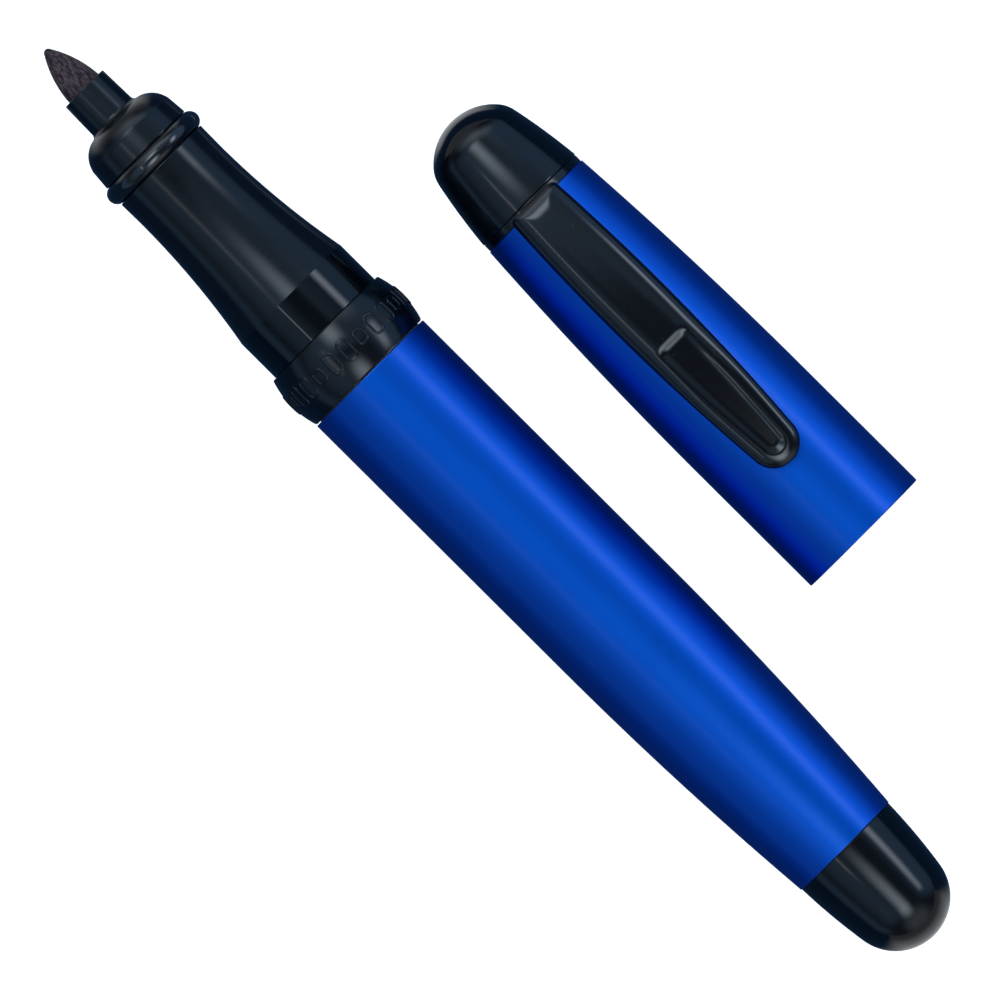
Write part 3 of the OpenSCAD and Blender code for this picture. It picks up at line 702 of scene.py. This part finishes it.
def rubber(name):
    """Black rubber of the sealing rings, smooth with faint mould bloom."""
    material, tree, shader, place = new_finish(name, in_IOR=1.7)
    bloom = use(tree, surface_grain, place, Grain_scale=4200.0, Patch_scale=700.0)
    body = blended(tree, bloom["Patches"], (0.003, 0.0045, 0.0066), (0.007, 0.0088, 0.0115))
    feed(tree, shader["Base Color"], body)
    feed(tree, shader["Roughness"], times_plus(tree, bloom["Patches"], 0.08, 0.06))
    bumped(tree, shader, bloom["Grain"], 0.06, 0.02 * mm)
    return material


def felt(name):
    """Ink-soaked fibre nib: pressed fibres that run along the nib, brown-violet with lighter ends, and
    painted shade in the pits between fibre clumps.
    """
    material, tree, shader, place = new_finish(name, in_IOR=1.4, in_Specular_IOR_Level=0.25)
    drawn = put(tree, "ShaderNodeMapping", in_Vector=place, in_Scale=(0.35, 1.0, 1.0)).outputs[0]
    fibres = noise(tree, drawn, in_Scale=5200.0, in_Detail=4.0, in_Roughness=0.7, in_Distortion=0.5)
    clumps = put(tree, "ShaderNodeTexVoronoi", feature="F1", in_Vector=drawn, in_Scale=3300.0)
    clumps = clumps.outputs["Distance"]
    patches = use(tree, surface_grain, place, Grain_scale=9000.0, Patch_scale=900.0)
    body = blended(tree, patches["Patches"], (0.052, 0.030, 0.036), (0.165, 0.108, 0.118))
    ends = times_plus(tree, fibres, 5.0, -2.6, clamp=True)
    body = blended(tree, ends, body, (0.29, 0.20, 0.212))
    # painted shade: darker in the pits between fibre clumps, where the bump also sinks the surface
    pit_shade = times_plus(tree, clumps, 2.6, -0.9, clamp=True)
    body = blended(tree, times(tree, pit_shade, 0.75), body, (0.012, 0.007, 0.009))
    feed(tree, shader["Base Color"], body)
    feed(tree, shader["Roughness"], times_plus(tree, fibres, 0.2, 0.72))
    bumped(tree, shader, minus(tree, fibres, clumps), 0.7, 0.09 * mm)
    return material


def moulded_plain(name, colour, shade, roughness=0.35):
    """Plain moulded or drawn plastic of the parts inside."""
    material, tree, shader, place = new_finish(name, in_IOR=1.5)
    uneven = use(tree, surface_grain, place, Grain_scale=3000.0, Patch_scale=240.0)
    lines = use(tree, hairline_scratches, place, Scratch_scale=240.0, Line_width=0.006)
    body = blended(tree, uneven["Patches"], colour, shade)
    body = blended(tree, times(tree, lines[0], 0.3), body, tuple(0.7 * c for c in colour))
    feed(tree, shader["Base Color"], body)
    feed(tree, shader["Roughness"], times_plus(tree, uneven["Grain"], 0.12, roughness))
    bumped(tree, shader, uneven["Grain"], 0.15, 0.03 * mm)
    return material


def turned_metal(name, colour, dark, roughness):
    """Turned brass or steel with fine tool rings."""
    material, tree, shader, place = new_finish(name, in_Metallic=1.0)
    rings = use(tree, turning_rings, place, Rings_scale=8000.0, Drift_scale=40.0)
    uneven = use(tree, surface_grain, place, Grain_scale=5000.0, Patch_scale=260.0)
    body = blended(tree, rings[0], dark, colour)
    body = blended(tree, times(tree, uneven["Patches"], 0.4), body, dark)
    feed(tree, shader["Base Color"], body)
    feed(tree, shader["Roughness"], times_plus(tree, rings[0], 0.2, roughness))
    bumped(tree, shader, rings[0], 0.2, 0.01 * mm)
    return material


def fibre(name, colour, dark, stretch, roughness):
    """Drawn fibre rod or wrapping film: streaks along X."""
    material, tree, shader, place = new_finish(name, in_IOR=1.45)
    drawn = put(tree, "ShaderNodeMapping", in_Vector=place, in_Scale=(stretch, 1.0, 1.0)).outputs[0]
    streaks = noise(tree, drawn, in_Scale=3500.0, in_Detail=3.0)
    feed(tree, shader["Base Color"], blended(tree, streaks, dark, colour))
    feed(tree, shader["Roughness"], times_plus(tree, streaks, 0.2, roughness))
    bumped(tree, shader, streaks, 0.4, 0.04 * mm)
    return material


anodised_barrel = anodised("anodised_blue_barrel", (barrel_x0, barrel_x1))
anodised_cap = anodised("anodised_blue_cap", (ring_x1, cap_mouth_x))
gloss_black = moulded_gloss("gloss_black")
collar_black = moulded_gloss("gloss_black_collar", roughness=0.14, grain=0.06)
clip_black = moulded_gloss("clip_lacquer", (0.0010, 0.0022, 0.0042), 0.10, 0.04, 1.62)
nose_black = moulded_gloss("satin_black_nose", (0.0020, 0.0036, 0.0062), 0.19, 0.08)
grip_black = turned_black("satin_black_grip")
seal_black = rubber("seal_rubber")
nib_felt = felt("nib_felt")
inner_plastic = moulded_plain("inner_plastic", (0.42, 0.43, 0.45), (0.34, 0.35, 0.38))
liner_plastic = moulded_plain("liner_plastic", (0.74, 0.75, 0.76), (0.66, 0.67, 0.69), 0.3)
plug_plastic = moulded_plain("plug_plastic", (0.03, 0.032, 0.036), (0.045, 0.047, 0.05), 0.3)
bush_brass = turned_metal("bush_brass", (0.82, 0.60, 0.26), (0.55, 0.36, 0.13), 0.2)
stud_steel = turned_metal("stud_steel", (0.62, 0.62, 0.63), (0.42, 0.42, 0.44), 0.22)
ink_fibre = fibre("ink_fibre", (0.035, 0.03, 0.06), (0.012, 0.01, 0.025), 0.05, 0.7)
film_plastic = fibre("film", (0.55, 0.60, 0.68), (0.42, 0.47, 0.56), 0.1, 0.2)

# ---------------------------------------------------------------- barrel, collar and tail

sleeve = [(barrel_x0, body_r - barrel_wall), (barrel_x0, body_r, 0.12 * mm)]
sleeve += barrel_line(0, barrel_x0)[1:-1] + [(barrel_x1, barrel_tail_r, 0.10 * mm)]
sleeve += barrel_line(barrel_wall, barrel_x0)[:0:-1]
turned_piece("barrel_sleeve_blue", sleeve, anodised_barrel, "barrel", "anodised_blue", "barrel_sleeve")

crown = [(collar_l * i / 40, collar_r - sag(collar_crown_r, collar_l * i / 40 - collar_crown_x))
         for i in range(1, 40)]
front_r = collar_r - sag(collar_crown_r, collar_crown_x)
back_r = collar_r - sag(collar_crown_r, collar_l - collar_crown_x)
collar_back_x = collar_l + collar_spigot_l
collar = [(0, collar_bore_r), (0, front_r, 0.14 * mm)] + crown
collar += [(collar_l, back_r, 0.16 * mm), (collar_l, collar_spigot_r), (collar_back_x, collar_spigot_r),
           (collar_back_x, collar_bore_r)]
collar_mesh = turned("collar", collar, collar_black)
links = outward(grown(
    "collar_links", bpy.data.meshes.new("links"), raised_links, Links=link_count, First_angle=link_first,
    Pitch_angle=link_pitch, Ring_radius=collar_r, Ring_X=collar_crown_x - 0.1 * mm,
    Crown_radius=collar_crown_r, Link_length=link_l, Link_width=link_w, Corner_radius=link_corner_r,
    Stroke_radius=link_stroke_r, Sunk=link_sunk, Finish=collar_black))
finish_piece("collar_with_links", joined("collar_with_links", [collar_mesh, links]), "barrel", "gloss_black",
             "collar_ring")

tail_l = tail_tip_x - barrel_x1
spigot_x = barrel_x1 - spigot_l
hollow_x = tail_tip_x - tail_end_t
tail = [(tail_tip_x - x, r) for x, r in bullet(tail_l, tail_base_r, tail_nose_r, tail_side_r)[:-1]]
tail += [(barrel_x1, tail_base_r, 0.10 * mm), (barrel_x1, spigot_r), (spigot_x, spigot_r, 0.15 * mm),
         (spigot_x, spigot_bore_r)]
tail += arc(hollow_x - spigot_bore_r, 0, spigot_bore_r, 0, math.pi / 2, 16)[::-1]
tail[0], tail[-1] = (tail_tip_x, 0), (hollow_x, 0)
turned_piece("tail_dome_gloss", tail, gloss_black, "barrel", "gloss_black", "tail_dome")

# ---------------------------------------------------------------- grip section and its seal ring

groove_x0, groove_x1 = seal_x - seal_half_w - play, seal_x + seal_half_w + play
grip = [(section_x, insert_bore_r), (section_x, lip_r, 0.08 * mm), (groove_x0, lip_back_r, 0.12 * mm),
        (groove_x0, groove_r), (groove_x1, groove_r), (groove_x1, neck_r, 0.12 * mm)]
grip += sweep(seal_x + waist_back, waist_r, -seat_l, seat_r - play)
grip += [(-seat_l, seat_r), (0, seat_r, 0.1 * mm), (0, tenon_land_r), (oring_x0, tenon_land_r),
         (oring_x0, oring_groove_r), (oring_x1, oring_groove_r), (oring_x1, tenon_root_r),
         (tenon_x1, tenon_root_r, 0.25 * mm), (tenon_x1, insert_bore_r)]
grip_mesh = turned("grip", grip, grip_black)
ridge = outward(grown(
    "thread", bpy.data.meshes.new("thread"), thread_ridge, Turns=thread_turns, Pitch=thread_pitch,
    Start_X=thread_x, Root_radius=tenon_root_r, Crest_radius=tenon_crest_r, Finish=grip_black))
finish_piece("grip_with_thread", joined("grip_with_thread", [grip_mesh, ridge]), "section", "satin_black",
             "grip_section")

seal = [(seal_x + seal_half_w, groove_r, 0.1 * mm)]
seal += arc(seal_x, seal_r - seal_half_w, seal_half_w, 0, math.pi, 36)
seal += [(seal_x - seal_half_w, groove_r, 0.1 * mm)]
turned_piece("seal_ring_rubber", seal, seal_black, "section", "seal_rubber", "seal_ring")

# ---------------------------------------------------------------- nose and nib

round_x = section_x + shoulder_round_r * math.sin(shoulder_slope)
round_y = shoulder_r - shoulder_round_r * math.cos(shoulder_slope)
start = math.pi - math.asin((tube_root_r - round_y) / shoulder_round_r)
shoulder = arc(round_x, round_y, shoulder_round_r, start, math.pi / 2 + shoulder_slope, 36)
nose_back_x = section_x - 0.01 * mm
neck_x = section_x + insert_neck_l
plug_x = neck_x + nose_plug_l
floor_x = section_x + nose_floor_t
stem_hole_r, nib_hole_r = nib_stem_r + play, nib_r + play
nose = [(nib_mouth_x, nib_hole_r), (nib_mouth_x, tube_mouth_r, 0.07 * mm), (*shoulder[0], 0.8 * mm)]
nose += shoulder[8:-1]
nose += [(nose_back_x, shoulder[-1][1], 0.04 * mm), (nose_back_x, insert_r), (neck_x, insert_r),
         (neck_x, nose_plug_r), (plug_x, nose_plug_r), (plug_x, nose_hollow_r), (floor_x, nose_hollow_r),
         (floor_x, stem_hole_r), (section_x, stem_hole_r), (section_x, nib_hole_r)]
turned_piece("nose_with_tube", nose, nose_black, "insert", "satin_black", "nib_holder", steps=160)

point = [(nib_tip_x + x, r) for x, r in bullet(nib_mouth_x - nib_tip_x, nib_r, nib_tip_r, nib_side_r)]
point[0] = (nib_tip_x, 0)
nib = point + [(section_x, nib_r), (section_x, nib_stem_r), (nib_stem_x1, nib_stem_r), (nib_stem_x1, 0)]
turned_piece("nib_of_felt", nib, nib_felt, "insert", "nib_felt", "nib", steps=128)

# ---------------------------------------------------------------- cap

on_cap = (cap_y, cap_z)
shell = cap_line(cap_tip_r, body_r, cap_mouth_x)
lining = cap_line(cap_tip_r - cap_wall, cap_bore_r, cap_mouth_x)
cap = [(*shell[0], 0.06 * mm)] + shell[1:-1] + [(*shell[-1], 0.12 * mm)]
cap += [(*lining[-1], 0.06 * mm)] + lining[-2::-1]
turned_piece("cap_sleeve_blue", cap, anodised_cap, "cap", "anodised_blue", "cap_sleeve", on_cap)

dome_l = dome_x1 - cap_tip_x
dome = [(cap_tip_x + x, r)
        for x, r in blunt_dome(dome_l, cap_dome_r, cap_dome_slope, cap_nose_r, cap_knuckle_r, cap_side_r)]
dome[0] = (cap_tip_x, 0)
rebate_x, hollow_x, stud_x = dome_x1 - dome_rebate_l, dome_x1 - dome_hollow_l, dome_x1 - stud_thread_l
dome = dome[:-1] + [
    (dome_x1, cap_dome_r, 0.14 * mm), (dome_x1, dome_rebate_r), (rebate_x, dome_rebate_r),
    (hollow_x, dome_hollow_r), (hollow_x, dome_boss_r), (dome_x1, dome_boss_r), (dome_x1, stud_thread_r),
    (stud_x, stud_thread_r), (stud_x, 0)]
turned_piece("cap_dome_gloss", dome, gloss_black, "cap", "gloss_black", "cap_dome", on_cap)

# ---------------------------------------------------------------- clip and clip ring

clip_crest_x = clip_x0 + clip_crest_l
clip_wide_x = clip_x0 + clip_wide_l
root_shoulder = Vector((2.6 * mm, 1.40 * mm))
tip_shoulder = Vector((1.55 * mm, 0.90 * mm))
edge_drop = 0.6 * mm
dish_rim, dish_w, dish_h = 1.30 * mm, 1.05 * mm, 0.27 * mm
dish_x0, dish_x1 = clip_x0 + 19.8 * mm, clip_x0 + 20.5 * mm
corner_r = 0.55 * mm
root_slope, root_rise, root_reach = 1.25, 0.3 * mm, 1.1 * mm  # how its upper edge eases at the root
ease_t = 0.12 * mm


def clip_half_w(x):
    return clip_w / 2 - sag(clip_side_r, x - clip_wide_x)


tip_round_r = clip_half_w(clip_x1 - clip_w / 2)
tip_round_x = clip_x1 - tip_round_r


def plan_half_w(x):
    """Half the clip's width at x, with its round tip and its round corners at the root."""
    if x > tip_round_x:
        return math.sqrt(max(0.0, tip_round_r ** 2 - (x - tip_round_x) ** 2))
    w = clip_half_w(x) + (tip_round_r - clip_half_w(tip_round_x)) * (x - clip_x0) / (tip_round_x - clip_x0)
    if x < clip_x0 + corner_r:
        w -= sag(corner_r, min(corner_r, clip_x0 + corner_r - x))
    return w


def edge_distance(x, y):
    """Distance inwards from the clip's plan edge."""
    if x > tip_round_x:
        return tip_round_r - math.hypot(x - tip_round_x, y)
    side = plan_half_w(max(x, clip_x0 + corner_r)) - abs(y)
    root = (x - clip_x0) * root_slope + root_rise
    if side < root_reach and root < root_reach:
        return max(0.0, root_reach - math.hypot(root_reach - side, root_reach - root))
    return min(side, root)


def smooth(t):
    t = min(1.0, max(0.0, t))
    return t * t * (3 - 2 * t)


def clip_arch(x):
    return clip_crest_z - sag(clip_arch_r, x - clip_crest_x)


def clip_top(x, y):
    e = edge_distance(x, y)
    shoulder = root_shoulder.lerp(tip_shoulder, smooth((x - clip_crest_x) / (10 * mm) + 0.4))
    drop = shoulder.y * sag(1.0, 1 - min(1.0, max(0.0, e) / shoulder.x))
    dish = dish_h * smooth((x - dish_x0) / (dish_x1 - dish_x0)) * smooth((e - dish_rim) / dish_w)
    return clip_arch(x) - drop - dish


def clip_under(x):
    arm = clip_arch(x) - clip_t
    d = x - (clip_x1 - bead_back)
    if abs(d) < bead_r:
        return min(arm, cap_z + body_r + bead_fit + sag(bead_r, d))
    return arm


def clip_mesh(finish):
    """Rows across the clip from root to tip, each a closed loop over the top and back under it."""
    across, under = 36, 10
    root_rows, arm_rows, tip_rows = 8, 130, 22
    xs = [clip_x0 + corner_r * (1 - math.cos(math.pi / 2 * i / root_rows)) for i in range(root_rows + 1)]
    root_end = xs[-1]
    xs += [root_end + (tip_round_x - root_end) * i / arm_rows for i in range(1, arm_rows + 1)]
    xs += [tip_round_x + tip_round_r * math.sin(math.pi / 2 * i / tip_rows) for i in range(1, tip_rows)]
    work = bmesh.new()
    rows = []
    for x in xs:
        w = plan_half_w(x)
        row = []
        for i in range(across + 1):
            y = -w * math.cos(math.pi * i / across)
            row.append(work.verts.new((x, cap_y + y, clip_top(x, y))))
        side_low = clip_under(x)
        ease = min(ease_t, w * 0.3)
        for i in range(under + 1):
            y = w - 2 * w * i / under
            lift = ease if i in (0, under) else 0.0
            hang = edge_drop * min(1.0, w / mm) * (y / w) ** 4
            row.append(work.verts.new((x, cap_y + y, side_low - hang + lift)))
        rows.append(row)
    for a, b in zip(rows, rows[1:]):
        for i in range(len(a)):
            k = (i + 1) % len(a)
            work.faces.new((a[i], a[k], b[k], b[i]))
    work.faces.new(rows[0][::-1])
    tip_top = work.verts.new((clip_x1, cap_y, clip_arch(clip_x1) - tip_shoulder.y))
    tip_low = work.verts.new((clip_x1, cap_y, clip_under(clip_x1) + ease_t))
    last = rows[-1]
    for i in range(across):
        work.faces.new((last[i], last[i + 1], tip_top))
    work.faces.new((last[across], last[across + 1], tip_low, tip_top))
    for i in range(across + 1, across + 1 + under):
        work.faces.new((last[i], last[i + 1], tip_low))
    work.faces.new((last[-1], last[0], tip_top, tip_low))
    mesh = bpy.data.meshes.new("clip")
    work.to_mesh(mesh)
    work.free()
    mesh.materials.append(finish)
    return outward(mesh, 40)


clip = show("clip_lacquered", clip_mesh(clip_black))
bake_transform(clip)
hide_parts("clip_arm")


def root_post(finish):
    """The post that joins the clip's root to its ring, with round upright edges."""
    inset, lowered, edge_r = 0.35 * mm, 0.2 * mm, 0.2 * mm
    half_w = plan_half_w(clip_x0 + corner_r) - inset
    x0, x1 = clip_x0 + play, ring_x1 - play
    z0, z1 = cap_z + ring_r / 2, clip_arch(clip_x0) - clip_t / 2 - lowered
    work = bmesh.new()
    bmesh.ops.create_cube(work, size=1.0)
    for v in work.verts:
        v.co = Vector((x0 if v.co.x < 0 else x1, cap_y + (half_w if v.co.y > 0 else -half_w),
                       z0 if v.co.z < 0 else z1))
    upright = [e for e in work.edges if abs(e.verts[0].co.z - e.verts[1].co.z) > mm]
    bmesh.ops.bevel(work, geom=upright, offset=edge_r, segments=5, profile=0.5, affect="EDGES")
    mesh = bpy.data.meshes.new("root_post")
    work.to_mesh(mesh)
    work.free()
    mesh.materials.append(finish)
    return outward(mesh)


ring = [(dome_x1, stud_hole_r), (dome_x1, ring_r, 0.12 * mm), (ring_x1, ring_r, 0.12 * mm),
        (ring_x1, stud_hole_r)]
ring_mesh = turned("clip_ring", ring, clip_black, on_cap, 160)
finish_piece("clip_ring_lacquered", joined("clip_ring_lacquered", [ring_mesh, root_post(clip_black)]), "cap",
             "clip_lacquer", "clip_ring")

# ---------------------------------------------------------------- parts that keep their own shape

inner_finishes = {
    "barrel_core": inner_plastic, "thread_bush": bush_brass, "thread_oring": seal_black,
    "insert_tube": inner_plastic, "insert_plug": plug_plastic, "ink_reservoir": ink_fibre,
    "reservoir_film": film_plastic, "cap_liner": liner_plastic, "cap_stud": stud_steel}
for node, finish in inner_finishes.items():
    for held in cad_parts[node].material_slots:
        held.material = finish

# ---------------------------------------------------------------- floor, lights and camera

# Where the floor looks bright in the reflections of the round ends, and how that dims with distance
card_edge, card_far, card_soft = 9 * mm, 17 * mm, 3 * mm
cap_card_in, tail_card_in, nose_card_in = 5.5 * mm, 7.5 * mm, 1.5 * mm
dim_from, dim_over = 6 * mm, 50 * mm


def fade(tree, value, full):
    """0 up to 0, then a soft rise to 1 at full."""
    made = put(tree, "ShaderNodeMapRange", interpolation_type="SMOOTHSTEP", in_Value=value, in_2=full)
    return made.outputs[0]


def mixed(tree, share, a, b):
    """Shader a at 0 and shader b at 1."""
    return put(tree, "ShaderNodeMixShader", in_0=share, in_1=a, in_2=b).outputs[0]


def glow(tree, colour, strength):
    return put(tree, "ShaderNodeEmission", in_Color=(*colour, 1), in_Strength=strength).outputs[0]


def matt(tree, colour):
    return put(tree, "ShaderNodeBsdfDiffuse", in_Color=(*colour, 1)).outputs[0]


def floor_finish():
    """Pale floor: even and white to look at, dim in the reflections of glossy parts."""
    material, tree = empty_material("pale_floor")
    rays = put(tree, "ShaderNodeLightPath").outputs
    pale = matt(tree, (0.80, 0.80, 0.80))
    seen = put(tree, "ShaderNodeAddShader", in_0=pale, in_1=glow(tree, (1, 1, 1), 0.90)).outputs[0]
    x, y, _ = parts_of(tree, put(tree, "ShaderNodeTexCoord").outputs["Object"])

    def wedge(way, start, across):
        """1 on the floor beyond a round end, where it is within about 55 degrees of the axis."""
        ahead = times_plus(tree, x, way, -way * start)
        aside = sums(tree, "ABSOLUTE", minus(tree, y, across))
        return fade(tree, times_plus(tree, aside, -0.7, ahead), card_edge)

    near = fade(tree, minus(tree, card_far, rays["Ray Length"]), card_soft)
    cap_end = times(tree, wedge(-1, cap_tip_x + cap_card_in, cap_y), near)
    inside = fade(tree, minus(tree, y, cap_y - card_edge), card_soft)
    cap_end = times(tree, cap_end, inside)
    nose_end = wedge(-1, section_x + nose_card_in, 0.0)
    card = sums(tree, "MAXIMUM", wedge(1, tail_tip_x - tail_card_in, 0.0), nose_end)
    card = sums(tree, "MAXIMUM", cap_end, card)
    far = fade(tree, minus(tree, rays["Ray Length"], dim_from), dim_over)
    lit = glow(tree, (0.92, 0.96, 1), times_plus(tree, far, -0.6, 0.9))
    glossy = mixed(tree, card, matt(tree, (0.035, 0.078, 0.155)), lit)
    above = mixed(tree, rays["Is Camera Ray"], glossy, seen)
    below = put(tree, "ShaderNodeBsdfTransparent").outputs[0]
    behind = put(tree, "ShaderNodeNewGeometry").outputs["Backfacing"]
    put(tree, "ShaderNodeOutputMaterial", in_Surface=mixed(tree, behind, above, below))
    return material


floor_mesh = bpy.data.meshes.new("floor")
floor_reach = 12.0
corners = [(-1, -1), (1, -1), (1, 1), (-1, 1)]
corners = [(floor_reach * x, floor_reach * y, surface_z) for x, y in corners]
floor_mesh.from_pydata(corners, [], [(0, 1, 2, 3)])
floor_mesh.materials.append(floor_finish())
show("floor", floor_mesh)

look_x, look_y = 24.94 * mm, 0.19 * mm


def panel(name, centre, facing, wide, tall, strength, colour=(1, 1, 1), soft=(0.3, 0.5)):
    """A soft box at centre that faces the point facing. wide runs level and tall across that, and its light
    fades towards its ends over the shares soft[0] and soft[-2] of its width and soft[-1] of its height."""
    lamp = bpy.data.lights.new(name, "AREA")
    lamp.shape = "RECTANGLE"
    lamp.size, lamp.size_y = wide, tall
    lamp.energy = strength * wide * tall * math.pi
    lamp.color = colour
    lamp.use_nodes = True
    tree = lamp.node_tree
    tree.nodes.clear()
    across, up, _ = parts_of(tree, put(tree, "ShaderNodeNewGeometry").outputs["Parametric"])
    shade = 1.0
    for place, shares in ((across, soft[:-1]), (up, soft[-1:])):
        for edge, share in ((place, shares[0]), (minus(tree, 1.0, place), shares[-1])):
            shade = times(tree, fade(tree, edge, share), shade)
    put(tree, "ShaderNodeOutputLight", in_Surface=glow(tree, (1, 1, 1), shade))
    made = bpy.data.objects.new(name, lamp)
    bpy.context.scene.collection.objects.link(made)
    back = (Vector(centre) - Vector(facing)).normalized()
    level = Vector((-back.y, back.x, 0)).normalized()
    made.matrix_world = Matrix((level, back.cross(level), back)).transposed().to_4x4()
    made.location = centre
    made.visible_camera = False


def over_side(angle, away, x0, x1):
    """Centre and facing point of a box along X, at an angle from straight up towards +Y."""
    a, x = math.radians(angle), look_x + (x0 + x1) / 2
    return (x, look_y + away * math.sin(a), away * math.cos(a)), (x, look_y, 0)


def over_end(angle, away, turn=0.0):
    """Centre and facing point of a box across X, at an angle from straight up towards +X."""
    a, h = math.radians(angle), math.radians(turn)
    return ((look_x + away * math.sin(a), look_y + away * math.sin(h), away * math.cos(a)),
            (look_x, look_y, 0))


panel("strip_far_side", *over_side(53, 0.60, -0.10, 0.38), 0.48, 0.23, 2.9, (0.84, 0.90, 1.0),
      (0.42, 0.10, 0.5))
panel("broad_far_side", *over_side(68, 0.70, -0.80, 0.80), 1.60, 1.20, 0.62, (0.28, 0.57, 1.0), (0.3, 0.45))
panel("strip_near_side", *over_side(-29, 0.60, -0.25, 0.16), 0.41, 0.034, 2.2, (1.0, 0.95, 0.88), (0.10, 0.4))
panel("broad_near_side", *over_side(-38, 0.70, -0.80, 0.80), 1.60, 0.98, 0.44, (0.38, 0.66, 1.0))
panel("low_near_side", *over_side(-80, 0.70, -0.80, 0.80), 1.60, 0.40, 0.44, (0.24, 0.58, 1.0))
panel("soft_tail_end", *over_end(31, 0.70, -4), 0.46, 0.76, 3.4, (0.76, 0.89, 1.0), (0.5, 0.45))
panel("soft_cap_end", *over_end(-30, 0.70, 0), 0.48, 0.50, 3.0, (0.76, 0.89, 1.0), (0.5, 0.4))
panel("overhead_cap_end", *over_end(-36, 0.70, 8), 1.40, 0.90, 0.33, (0.46, 0.72, 1.0), (0.3, 0.06))
panel("wide_cap_end", *over_end(-56, 0.70, 22), 1.10, 0.70, 0.8, (0.76, 0.88, 1.0), (0.4, 0.5))
panel("wide_low_tail_end", *over_end(70, 0.80), 1.00, 1.10, 0.55, (0.82, 0.91, 1.0), (0.4, 0.5))
panel("wide_low_cap_end", *over_end(-72, 0.80), 1.00, 1.00, 0.50, (0.82, 0.91, 1.0), (0.4, 0.5))

world = bpy.data.worlds.new("studio")
bpy.context.scene.world = world
world.use_nodes = True
sky = world.node_tree
sky.nodes.clear()
seen_direct = put(sky, "ShaderNodeLightPath").outputs["Is Camera Ray"]
plain = put(sky, "ShaderNodeBackground", in_Color=(0.30, 0.34, 0.40, 1), in_Strength=0.22).outputs[0]
white = put(sky, "ShaderNodeBackground", in_Color=(1, 1, 1, 1), in_Strength=1.0).outputs[0]
put(sky, "ShaderNodeOutputWorld", in_Surface=mixed(sky, seen_direct, plain, white))

bpy.context.scene.view_settings.view_transform = "Standard"

camera_data = bpy.data.cameras.new("camera")
camera = bpy.data.objects.new("camera", camera_data)
bpy.context.scene.collection.objects.link(camera)
camera_height, view_w, sensor_w = 3.0, 102 * mm, 36
camera_roll = math.atan2(0.7055, 0.7087)
camera_data.sensor_width = sensor_w
camera_data.lens = sensor_w * camera_height / view_w
camera_data.clip_start, camera_data.clip_end = 0.1, 40
camera.location = (look_x, look_y, camera_height)
camera.rotation_euler = (0, 0, camera_roll)
bpy.context.scene.camera = camera
